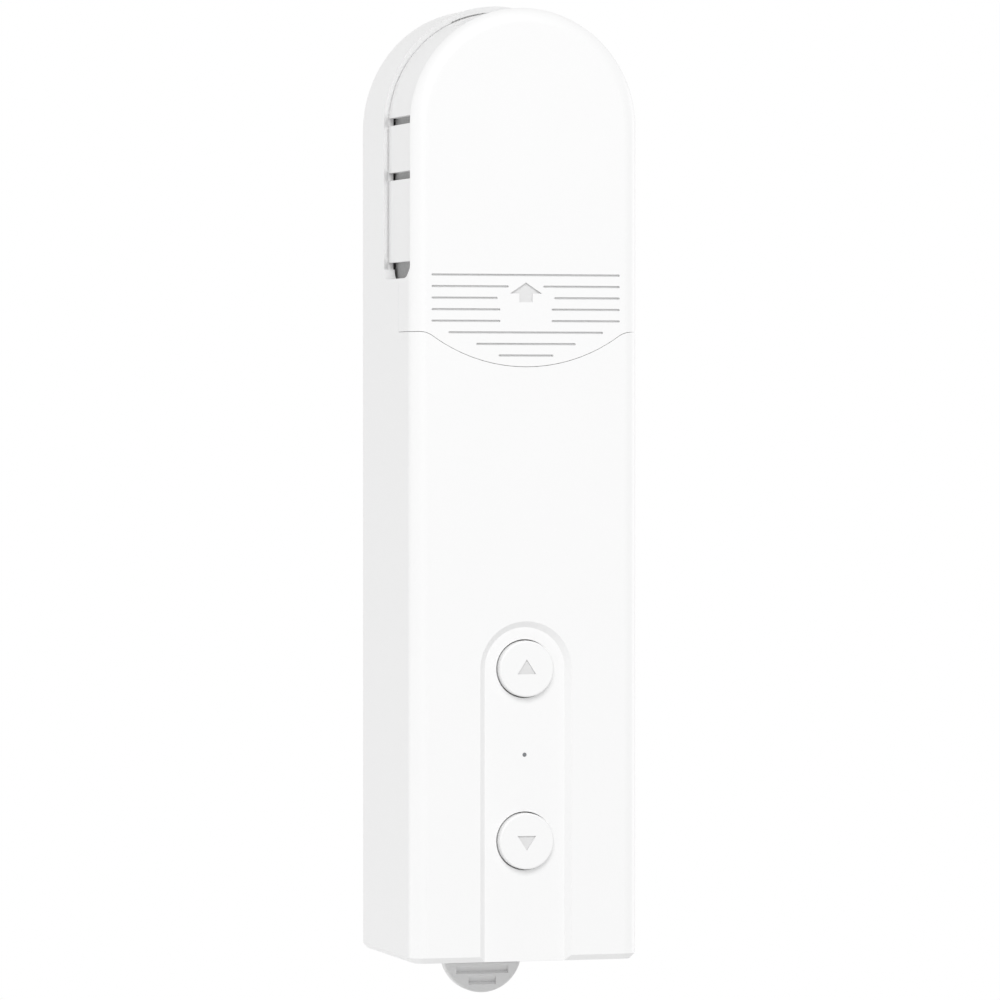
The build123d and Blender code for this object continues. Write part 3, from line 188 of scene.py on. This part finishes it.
# Chain cover
# The same white ABS, moulded thin. It slides down over the frame on two guide rails. The floors of
# its arrow and finger grooves are coloured a darker grey: painted shade in the hollows.
def box_group():
    """A mask that is 1 inside a box in the frame of the wall bracket, with a soft edge."""
    tree, given, result = new_tree("inside_box", "ShaderNodeTree", [
        ("Middle", "NodeSocketVector", (0, 0, 0)),
        ("Half Size", "NodeSocketVector", (0.01, 0.01, 0.01)),
        ("Edge", "NodeSocketFloat", 0.0001),
    ], [("Mask", "NodeSocketFloat")])
    place = node(tree, "ShaderNodeTexCoord").outputs["Object"]
    offset = node(
        tree, "ShaderNodeVectorMath", {0: place, 1: given["Middle"]}, operation="SUBTRACT"
    )
    distance = node(tree, "ShaderNodeVectorMath", {0: offset}, operation="ABSOLUTE")
    beyond = node(
        tree, "ShaderNodeVectorMath", {0: distance, 1: given["Half Size"]}, operation="SUBTRACT"
    )
    split = node(tree, "ShaderNodeSeparateXYZ", {0: beyond})
    outside = calculate(tree, "MAXIMUM", split.outputs[0], split.outputs[1])
    outside = calculate(tree, "MAXIMUM", outside, split.outputs[2])
    fade = node(tree, "ShaderNodeMapRange", {
        "Value": outside, "From Min": 0.0, "From Max": given["Edge"], "To Min": 1.0, "To Max": 0.0,
    })
    link(tree, fade.outputs[0], result["Mask"])
    return tree


inside_box = box_group()
mark_edge = 0.00004


def paint_mark_shade(material, grey, middle, half_size):
    """Paints shade on the floor of a sunk mark: a darker grey inside a box, mixed into the surface
    colour.
    """
    tree = material.node_tree
    group = next(n for n in tree.nodes if getattr(n, "node_tree", None) == surface)
    surface_colour = group.inputs["Colour"]
    mask = node(tree, "ShaderNodeGroup", node_tree=inside_box)
    mask.inputs["Middle"].default_value = middle
    mask.inputs["Half Size"].default_value = half_size
    mask.inputs["Edge"].default_value = mark_edge
    mix = node(tree, "ShaderNodeMix", {0: mask.outputs["Mask"]}, data_type="RGBA")
    plain_colour, shade_colour, mixed_colour = mix.inputs[6], mix.inputs[7], mix.outputs[2]
    plain_colour.default_value = surface_colour.default_value
    for given in surface_colour.links:
        link(tree, given.from_socket, plain_colour)
    shade_colour.default_value = (grey, grey, grey, 1)
    link(tree, mixed_colour, surface_colour)


cover_white = moulded_white("cover_white")
cover_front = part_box("chain_cover")[0][1]
sunk_front = 0.00035
sunk_back = 0.0008
mark_depth = cover_front + (sunk_front + sunk_back) / 2
mark_half_depth = (sunk_back - sunk_front) / 2
# Darker grey on the floors of the grooves and the arrow: painted shade in these recesses.
groove_shade_grey = 0.82
grooves_middle = (0, mark_depth, 0.056)
grooves_half_size = (0.02, mark_half_depth, 0.015)
arrow_shade_grey = 0.76
arrow_middle = (0, mark_depth, 0.061)
arrow_half_size = (0.0034, mark_half_depth, 0.003)
paint_mark_shade(cover_white, groove_shade_grey, grooves_middle, grooves_half_size)
paint_mark_shade(cover_white, arrow_shade_grey, arrow_middle, arrow_half_size)
paint(cover_white, "chain_cover")

# Slit shade strips
# Mid-grey strips inside the frame behind its slits, and under its floor: painted shade that stands
# in for the dim inside seen through the openings. They show only through those openings.
# This mid grey is painted shade for the inside seen through the slits.
felt_grey = finish(
    "felt_grey", (0.40, 0.40, 0.40), 0.00006, roughness=0.95, grain_size=0.00045,
    tone_change=0.5, gloss_change=0.0,
)
frame_low, frame_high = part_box("inner_frame")
frame_wall = 0.0015
floor_below_top = 0.0485
arch_below_top = 0.0225
frame_inside = frame_high[0] - frame_wall
frame_floor = frame_high[2] - floor_below_top
arch_middle = frame_high[2] - arch_below_top
arch_reach = frame_inside + 0.001
strip_thickness = 0.0004
strip_behind_front = 0.0034
strip_past_back = 0.0045
strip_front = frame_low[1] + strip_behind_front
strip_back = frame_high[1] + strip_past_back
wall_gap = 0.00002
floor_strip_gap = 0.0001
end_gap = 0.00005


def shade_strip(vertices, faces, side, outer_edge, heights):
    """Adds one strip, whose outer face follows outer_edge(height)."""
    first = len(vertices)
    for height in heights:
        outer = outer_edge(height)
        for depth in (strip_front, strip_back):
            for across in (outer, outer - strip_thickness):
                vertices.append((side * across, depth, height))
    rows = len(heights)
    for row in range(rows - 1):
        low = first + 4 * row
        high = low + 4
        for a, b in ((0, 2), (2, 3), (3, 1), (1, 0)):
            faces.append((low + a, low + b, high + b, high + a))
    faces.append((first, first + 1, first + 3, first + 2))
    last = first + 4 * (rows - 1)
    faces.append((last, last + 2, last + 3, last + 1))


def frame_edge(height):
    above = max(0.0, height - arch_middle) / arch_reach
    return frame_inside * math.sqrt(1 - above * above) - wall_gap


shade_strip_vertices = []
shade_strip_faces = []
slit_strip_low = arch_middle - 0.0118
slit_strip_height = 0.0149
slit_strip_steps = 10
slit_heights = [
    slit_strip_low + slit_strip_height * step / slit_strip_steps
    for step in range(slit_strip_steps + 1)
]
floor_heights = [frame_low[2] + end_gap, frame_floor - end_gap]
for side in (-1, 1):
    shade_strip(shade_strip_vertices, shade_strip_faces, side, frame_edge, slit_heights)
    shade_strip(
        shade_strip_vertices, shade_strip_faces, side, lambda height: frame_inside - floor_strip_gap,
        floor_heights,
    )
shade_strip_mesh = bpy.data.meshes.new("dust_seals")
shade_strip_mesh.from_pydata(shade_strip_vertices, [], shade_strip_faces)
shape = bmesh.new()
shape.from_mesh(shade_strip_mesh)
bmesh.ops.recalc_face_normals(shape, faces=shape.faces)
shape.to_mesh(shade_strip_mesh)
shape.free()
shade_strip_mesh.materials.append(felt_grey)
dust_seals = bpy.data.objects.new("dust_seals", shade_strip_mesh)
bpy.context.collection.objects.link(dust_seals)
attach(dust_seals, "base")

# Buttons
# Two round caps of the same white plastic, a little smoother where fingers touch them. Each
# has a triangle sunk into its face, whose floor is coloured a darker grey as painted shade, and
# rests on a switch.
button_white = finish(
    "button_white", (0.90, 0.90, 0.90), 0.000002, roughness=0.38, grain_size=0.0003,
    tone_change=0.01, gloss_change=0.06,
)
triangle_shade_grey = 0.74
triangle_sink = 0.0004
triangle_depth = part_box("up_button")[0][1] + triangle_sink
triangle_half_size = (0.003, 0.00015, 0.003)
for button in ("up_button", "down_button"):
    low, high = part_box(button)
    button_height = (low[2] + high[2]) / 2
    # Painted shade: a darker grey on the floor of each sunk triangle.
    paint_mark_shade(
        button_white, triangle_shade_grey, (0, triangle_depth, button_height), triangle_half_size
    )
paint(button_white, "up_button", "down_button")

# Indicator
# A moulded pipe of clear acrylic brings the light of a lamp on the board to a pinhole in the
# channel. The lamp is soldered on, under a cap of yellowish resin.
clear_acrylic = finish(
    "clear_acrylic", (0.20, 0.21, 0.22), 0.000001, roughness=0.25, grain_size=0.0002
)
paint(clear_acrylic, "light_pipe")
led_resin = finish(
    "led_resin", (0.85, 0.85, 0.70), 0.000001, roughness=0.25, grain_size=0.0002, tone_change=0.2
)
paint(led_resin, "indicator_led")

# Release tab
# Light grey plastic, pressed from below to free the motor from its bracket. It turns on the
# bracket's pin, and three notches moulded across it give the finger a grip.
tab_grey = finish(
    "tab_grey", (0.73, 0.73, 0.73), 0.000005, roughness=0.5, grain_size=0.00035,
    tone_change=0.02, gloss_change=0.08,
)
paint(tab_grey, "release_tab")

# Chain wheel
# Natural acetal, slippery and slightly waxy, moulded with nine pockets for the beads of the
# chain. A screw holds it on its shaft.
wheel_acetal = finish(
    "wheel_acetal", (0.78, 0.78, 0.75), 0.000003, roughness=0.35, grain_size=0.0006,
    tone_change=0.03, gloss_change=0.1,
)
paint(wheel_acetal, "chain_wheel")

# Gears
# The bevel pair and the carriers are sintered steel with an oiled, slightly porous surface.
# The planets are acetal, and the motor's own pinion is sintered bronze as the bushes are.
sintered_steel = finish(
    "sintered_steel", (0.40, 0.39, 0.37), 0.000006, metallic=1.0, roughness=0.42,
    grain_size=0.00012, tone_change=0.25, gloss_change=0.3,
)
paint(sintered_steel, "bevel_gear", "bevel_pinion", "output_carrier", "input_carrier")
planet_acetal = finish(
    "planet_acetal", (0.76, 0.72, 0.58), 0.000003, roughness=0.4, grain_size=0.0005,
    tone_change=0.05,
)
for stage in ("input", "output"):
    paint(planet_acetal, *[f"{stage}_planet_{number}" for number in (1, 2, 3)])
bronze = finish(
    "bronze", (0.62, 0.38, 0.16), 0.000005, metallic=1.0, roughness=0.38, grain_size=0.00015,
    tone_change=0.25, gloss_change=0.3,
)
paint(bronze, "front_bush", "rear_bush", "output_bush", "motor_bush", "motor_pinion")

# Gearbox and inner supports
# The gear case, the bracket of the chain drive and the battery tray are glass-filled nylon,
# whose fibres show as a fine mottled grain. The cap is die-cast zinc.
filled_nylon = finish(
    "filled_nylon", (0.10, 0.105, 0.115), 0.00001, roughness=0.55, grain_size=0.0004,
    tone_change=0.25, gloss_change=0.15,
)
paint(filled_nylon, "drive_bracket", "gear_case", "battery_tray")
cast_zinc = finish(
    "cast_zinc", (0.42, 0.43, 0.45), 0.00001, metallic=1.0, roughness=0.45, grain_size=0.0006,
    tone_change=0.2, gloss_change=0.25,
)
paint(cast_zinc, "gearbox_cap")

# Motor
# A drawn and zinc-plated can with ferrite magnets, a laminated rotor and a black moulded end
# cap, held in a soft rubber ring that keeps its hum out of the housing.
plated_steel = finish(
    "plated_steel", (0.55, 0.55, 0.56), 0.000002, metallic=1.0, roughness=0.3,
    grain_size=0.00025, tone_change=0.12, gloss_change=0.2, stretch=(1, 1, 0.12),
)
paint(plated_steel, "motor_can", "rotor_shaft", "wheel_shaft", "tab_pin")
ferrite = finish(
    "ferrite", (0.035, 0.035, 0.04), 0.00001, roughness=0.6, grain_size=0.0002, tone_change=0.3
)
paint(ferrite, "motor_magnets", "encoder_magnet")
laminated_steel = finish(
    "laminated_steel", (0.20, 0.15, 0.11), 0.00002, metallic=1.0, roughness=0.4,
    grain_size=0.0005, tone_change=0.5, gloss_change=0.2, stretch=(0.02, 0.02, 1),
)
paint(laminated_steel, "rotor_core")
black_nylon = finish(
    "black_nylon", (0.012, 0.012, 0.014), 0.000004, roughness=0.45, grain_size=0.0003,
    tone_change=0.3,
)
paint(black_nylon, "motor_end_cap")
black_rubber = finish(
    "black_rubber", (0.018, 0.018, 0.018), 0.00001, roughness=0.8, grain_size=0.0002,
    tone_change=0.3,
)
paint(black_rubber, "motor_damper")

# Batteries
# Two lithium cells in blue shrink sleeve, joined by spot-welded nickel strip. The stamped shell
# of the charging socket is nickel-plated too.
shrink_sleeve = finish(
    "shrink_sleeve", (0.03, 0.10, 0.26), 0.00002, roughness=0.3, grain_size=0.002,
    tone_change=0.12, stretch=(1, 1, 0.3),
)
paint(shrink_sleeve, "cell_left", "cell_right")
nickel = finish(
    "nickel", (0.62, 0.60, 0.56), 0.000002, metallic=1.0, roughness=0.3, grain_size=0.0002,
    tone_change=0.1, gloss_change=0.2,
)
paint(nickel, "cell_links", "usb_socket")

# Electronics
# Green solder mask on glass-fibre boards, with moulded chips, cream connectors, switches under
# stamped covers and silicone leads.
solder_mask = finish(
    "solder_mask", (0.012, 0.10, 0.04), 0.00001, roughness=0.28, grain_size=0.0008,
    tone_change=0.35,
)
paint(solder_mask, "main_board", "encoder_board")
chip_epoxy = finish(
    "chip_epoxy", (0.012, 0.012, 0.012), 0.000006, roughness=0.55, grain_size=0.0002,
    tone_change=0.3,
)
paint(chip_epoxy, "board_chips")
cream_nylon = finish(
    "cream_nylon", (0.76, 0.68, 0.48), 0.000003, roughness=0.45, grain_size=0.0004,
    tone_change=0.05,
)
paint(cream_nylon, "board_connectors")
switch_steel = finish(
    "switch_steel", (0.6, 0.6, 0.6), 0.000003, metallic=1.0, roughness=0.35,
    grain_size=0.0002, tone_change=0.1,
)
paint(switch_steel, "tact_switches")
red_silicone = finish(
    "red_silicone", (0.38, 0.02, 0.015), 0.000004, roughness=0.5, grain_size=0.0003,
    tone_change=0.1,
)
paint(red_silicone, "motor_leads")

# Chip legs and small board parts
# Tinned legs along the four sides of the main chip, and chip resistors and capacitors with tinned
# ends in rows on the free parts of the board. They are placed by machine and soldered by reflow.
tin = finish(
    "tin", (0.66, 0.66, 0.64), 0.000004, metallic=1.0, roughness=0.28, grain_size=0.0001,
    tone_change=0.15, gloss_change=0.2,
)
capacitor_tan = finish(
    "capacitor_tan", (0.36, 0.25, 0.16), 0.000004, roughness=0.5, grain_size=0.0001,
    tone_change=0.2,
)
board_low, board_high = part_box("main_board")
board_face = board_high[1]


def geometry_tree(name, inputs):
    shown = ("Geometry", "NodeSocketGeometry")
    return new_tree(name, "GeometryNodeTree", [(*shown, None), *inputs], [shown])


def face_wall(tree, source, place):
    """Turns a flat row of parts upright, to face the wall, and moves it to its place."""
    return node(tree, "GeometryNodeTransform", {
        "Geometry": source, "Rotation": (-math.pi / 2, 0, 0), "Translation": place,
    })


def grow(name, tree, body, start=None, **values):
    """Runs a geometry tree and keeps its result as a plain mesh that rides on a body."""
    carrier = bpy.data.objects.new(name + "_start", start or bpy.data.meshes.new(name + "_start"))
    bpy.context.collection.objects.link(carrier)
    modifier = carrier.modifiers.new("tree", "NODES")
    modifier.node_group = tree
    for socket in tree.interface.items_tree:
        label = socket.name.lower().replace(" ", "_")
        if socket.in_out == "INPUT" and label in values:
            modifier[socket.identifier] = values[label]
    bpy.context.view_layer.update()
    evaluated = carrier.evaluated_get(bpy.context.evaluated_depsgraph_get())
    mesh = bpy.data.meshes.new_from_object(evaluated)
    mesh.name = name
    carrier.modifiers.clear()
    bpy.data.objects.remove(carrier)
    piece = bpy.data.objects.new(name, mesh)
    bpy.context.collection.objects.link(piece)
    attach(piece, body)


def legs_tree():
    """A row of bent legs on each of the four sides of a chip that faces the wall."""
    tree, given, result = geometry_tree("chip_legs", [
        ("Legs", "NodeSocketInt", 18), ("Pitch", "NodeSocketFloat", 0.00075),
        ("Half Size", "NodeSocketFloat", 0.0075), ("Leg Width", "NodeSocketFloat", 0.0003),
        ("Leg Thickness", "NodeSocketFloat", 0.00012), ("Place", "NodeSocketVector", (0, 0, 0)),
        ("Metal", "NodeSocketMaterial", None),
    ])
    section = node(tree, "GeometryNodeCurvePrimitiveQuadrilateral", {
        "Width": given["Leg Thickness"], "Height": given["Leg Width"],
    })
    spine = node(tree, "GeometryNodeMeshToCurve", {"Mesh": given["Geometry"]})
    leg = node(tree, "GeometryNodeCurveToMesh", {
        "Curve": spine, "Profile Curve": section, "Fill Caps": True,
    })
    gaps = calculate(tree, "SUBTRACT", given["Legs"], 1.0)
    span = calculate(tree, "MULTIPLY", gaps, given["Pitch"])
    half = calculate(tree, "MULTIPLY", span, -0.5)
    row_start = node(tree, "ShaderNodeCombineXYZ", {"X": half, "Y": given["Half Size"]})
    row_step = node(tree, "ShaderNodeCombineXYZ", {"X": given["Pitch"]})
    row = node(tree, "GeometryNodeMeshLine", {
        "Count": given["Legs"], "Start Location": row_start, "Offset": row_step,
    }, mode="OFFSET")
    placed = node(tree, "GeometryNodeInstanceOnPoints", {"Points": row, "Instance": leg})
    sides = node(tree, "GeometryNodeJoinGeometry")
    for quarter in range(4):
        turned = node(tree, "GeometryNodeTransform", {
            "Geometry": placed, "Rotation": (0, 0, quarter * math.pi / 2),
        })
        link(tree, turned.outputs[0], sides.inputs[0])
    upright = face_wall(tree, sides, given["Place"])
    whole = node(tree, "GeometryNodeRealizeInstances", {"Geometry": upright})
    painted = node(tree, "GeometryNodeSetMaterial", {
        "Geometry": whole, "Material": given["Metal"],
    })
    link(tree, painted.outputs[0], result[0])
    return tree


leg_outward = (-0.0002, 0.00025, 0.0005, 0.001)
leg_top = 0.0009
leg_foot = 0.00008
leg_heights = (leg_top, leg_top, leg_foot, leg_foot)
leg_points = [(0, outward, height) for outward, height in zip(leg_outward, leg_heights)]
leg_spine = bpy.data.meshes.new("leg_spine")
leg_spine.from_pydata(leg_points, [(0, 1), (1, 2), (2, 3)], [])
main_chip_middle = board_low[2] + 0.0135
grow(
    "main_chip_legs", legs_tree(), "base", leg_spine, legs=18, pitch=0.00075,
    half_size=0.0075, place=(0, board_face, main_chip_middle), metal=tin,
)


def parts_tree():
    """Rows of two-ended chip parts on a board that faces the wall, with gaps in the rows."""
    tree, given, result = geometry_tree("board_parts", [
        ("Across", "NodeSocketFloat", 0.02), ("Along", "NodeSocketFloat", 0.02),
        ("Columns", "NodeSocketInt", 8), ("Rows", "NodeSocketInt", 8),
        ("Share Kept", "NodeSocketFloat", 0.6), ("Seed", "NodeSocketInt", 3),
        ("Length", "NodeSocketFloat", 0.0016), ("Width", "NodeSocketFloat", 0.0008),
        ("Height", "NodeSocketFloat", 0.0005), ("Place", "NodeSocketVector", (0, 0, 0)),
        ("Middle", "NodeSocketMaterial", None), ("Ends", "NodeSocketMaterial", None),
    ])

    middle_share, end_share, end_middle = 0.6, 0.2, 0.4
    middle_slimness, middle_lowness = 0.94, 0.92

    def times(size, factor):
        return calculate(tree, "MULTIPLY", given[size], factor)

    def block(size, material):
        cube = node(tree, "GeometryNodeMeshCube", {"Size": size})
        return node(tree, "GeometryNodeSetMaterial", {"Geometry": cube, "Material": material})

    middle_size = node(tree, "ShaderNodeCombineXYZ", {
        "X": times("Length", middle_share), "Y": times("Width", middle_slimness),
        "Z": times("Height", middle_lowness),
    })
    end_size = node(tree, "ShaderNodeCombineXYZ", {
        "X": times("Length", end_share), "Y": given["Width"], "Z": given["Height"],
    })
    part = node(tree, "GeometryNodeJoinGeometry")
    link(tree, block(middle_size, given["Middle"]).outputs[0], part.inputs[0])
    for end in (-end_middle, end_middle):
        offset = node(tree, "ShaderNodeCombineXYZ", {"X": times("Length", end)})
        cap = node(tree, "GeometryNodeTransform", {
            "Geometry": block(end_size, given["Ends"]), "Translation": offset,
        })
        link(tree, cap.outputs[0], part.inputs[0])
    field = node(tree, "GeometryNodeMeshGrid", {
        "Size X": given["Across"], "Size Y": given["Along"],
        "Vertices X": given["Columns"], "Vertices Y": given["Rows"],
    })
    kept = node(tree, "FunctionNodeRandomValue", {
        "Probability": given["Share Kept"], "Seed": given["Seed"],
    }, data_type="BOOLEAN")
    is_kept = kept.outputs[3]
    lowest, highest = 4, 5
    turn = node(tree, "FunctionNodeRandomValue", {
        lowest: 0, highest: 1, "Seed": given["Seed"],
    }, data_type="INT")
    quarter_turns = turn.outputs[2]
    angle = calculate(tree, "MULTIPLY", quarter_turns, math.pi / 2)
    placed = node(tree, "GeometryNodeInstanceOnPoints", {
        "Points": field, "Selection": is_kept, "Instance": part,
        "Rotation": node(tree, "ShaderNodeCombineXYZ", {"Z": angle}),
    })
    upright = face_wall(tree, placed, given["Place"])
    whole = node(tree, "GeometryNodeRealizeInstances", {"Geometry": upright})
    link(tree, whole.outputs[0], result[0])
    return tree


board_parts = parts_tree()
part_height = 0.0005
part_depth = board_face + part_height / 2


def place_parts(name, x, z, **values):
    grow(
        name, board_parts, "base", place=(x, part_depth, z), height=part_height, ends=tin,
        **values,
    )


place_parts(
    "resistors_middle", 0, -0.0165, across=0.021, along=0.019, columns=8, rows=7,
    share_kept=0.62, seed=3, middle=chip_epoxy,
)
place_parts(
    "capacitors_low", 0, -0.0400, across=0.018, along=0.0002, columns=8, rows=1,
    share_kept=1.0, seed=5, middle=capacitor_tan,
)
place_parts(
    "capacitors_side", -0.0095, -0.0330, across=0.0042, along=0.0075, columns=3, rows=4,
    share_kept=0.8, seed=7, middle=capacitor_tan,
)

# Wall bracket
# A white plastic channel with two screw holes and four hooks, screwed to the wall first. The
# release tab turns on a steel pin at its foot, and a leaf of spring steel pushes the tab back.
bracket_white = finish(
    "bracket_white", (0.86, 0.86, 0.86), 0.000006, roughness=0.5, grain_size=0.0004,
    tone_change=0.015, gloss_change=0.08,
)
paint(bracket_white, "wall_bracket")
spring_steel = finish(
    "spring_steel", (0.42, 0.42, 0.44), 0.000002, metallic=1.0, roughness=0.25,
    grain_size=0.0002, tone_change=0.15, gloss_change=0.2, stretch=(1, 1, 0.1),
)
paint(spring_steel, "tab_spring")

# Screws
# Zinc-plated steel with pressed heads, dulled a little by the driver. Those of the back plate,
# the board and the drive's bracket have cross recesses. The one in the chain wheel has a slot.
plated_screw = finish(
    "plated_screw", (0.50, 0.50, 0.51), 0.000003, metallic=1.0, roughness=0.34,
    grain_size=0.00015, tone_change=0.2, gloss_change=0.25,
)
paint(
    plated_screw, "back_screws", "drive_screws", "frame_screws", "cap_screws", "board_screws",
    "wheel_screw",
)

# Studio
# A pale floor well below the motor, which hangs on its bracket, in an even white surround. A
# broad soft light stands in front and above, and a smaller one behind on each side.
floor_drop = 0.8
floor_half = 1.6
floor_level = cad_box[0][2] - floor_drop
corners = [(-1, -1), (1, -1), (1, 1), (-1, 1)]
floor_mesh = bpy.data.meshes.new("floor")
floor_mesh.from_pydata(
    [(x * floor_half, y * floor_half, floor_level) for x, y in corners], [], [(0, 1, 2, 3)]
)
floor_white = bpy.data.materials.new("floor_white")
floor_white.use_nodes = True
floor_shader = floor_white.node_tree.nodes["Principled BSDF"]
floor_shader.inputs["Base Color"].default_value = (0.9, 0.9, 0.9, 1)
floor_shader.inputs["Roughness"].default_value = 0.8
floor_mesh.materials.append(floor_white)
floor = bpy.data.objects.new("floor", floor_mesh)
bpy.context.collection.objects.link(floor)

world = bpy.context.scene.world or bpy.data.worlds.new("studio")
bpy.context.scene.world = world
world.use_nodes = True
sky = world.node_tree
surround = sky.nodes["Background"]
surround.inputs["Color"].default_value = (1, 1, 1, 1)
surround.inputs["Strength"].default_value = 0.62
backdrop = node(sky, "ShaderNodeBackground", {"Color": (1, 1, 1, 1), "Strength": 1.0})
ray = node(sky, "ShaderNodeLightPath")
seen = ray.outputs["Is Camera Ray"]
for kind in ("Is Glossy Ray", "Is Transmission Ray"):
    seen = calculate(sky, "MAXIMUM", seen, ray.outputs[kind])
choice = node(sky, "ShaderNodeMixShader", {0: seen, 1: surround, 2: backdrop})
link(sky, choice.outputs[0], sky.nodes["World Output"].inputs["Surface"])
aim = Vector((0, -0.02, 0.02))


def softbox(name, place, size, power):
    light = bpy.data.lights.new(name, "AREA")
    light.shape = "RECTANGLE"
    light.size, light.size_y = size
    light.energy = power
    lamp = bpy.data.objects.new(name, light)
    lamp.location = place
    lamp.rotation_euler = (aim - Vector(place)).to_track_quat("-Z", "Y").to_euler()
    bpy.context.collection.objects.link(lamp)


softbox("key_softbox", (-0.38, -1.8, 1.05), size=(1.1, 1.1), power=21.0)
softbox("left_softbox", (-1.15, 0.5, -0.479), size=(0.6, 0.8), power=3.6)
softbox("right_softbox", (1.352, 0.362, 0.0), size=(0.6, 1.0), power=4.6)
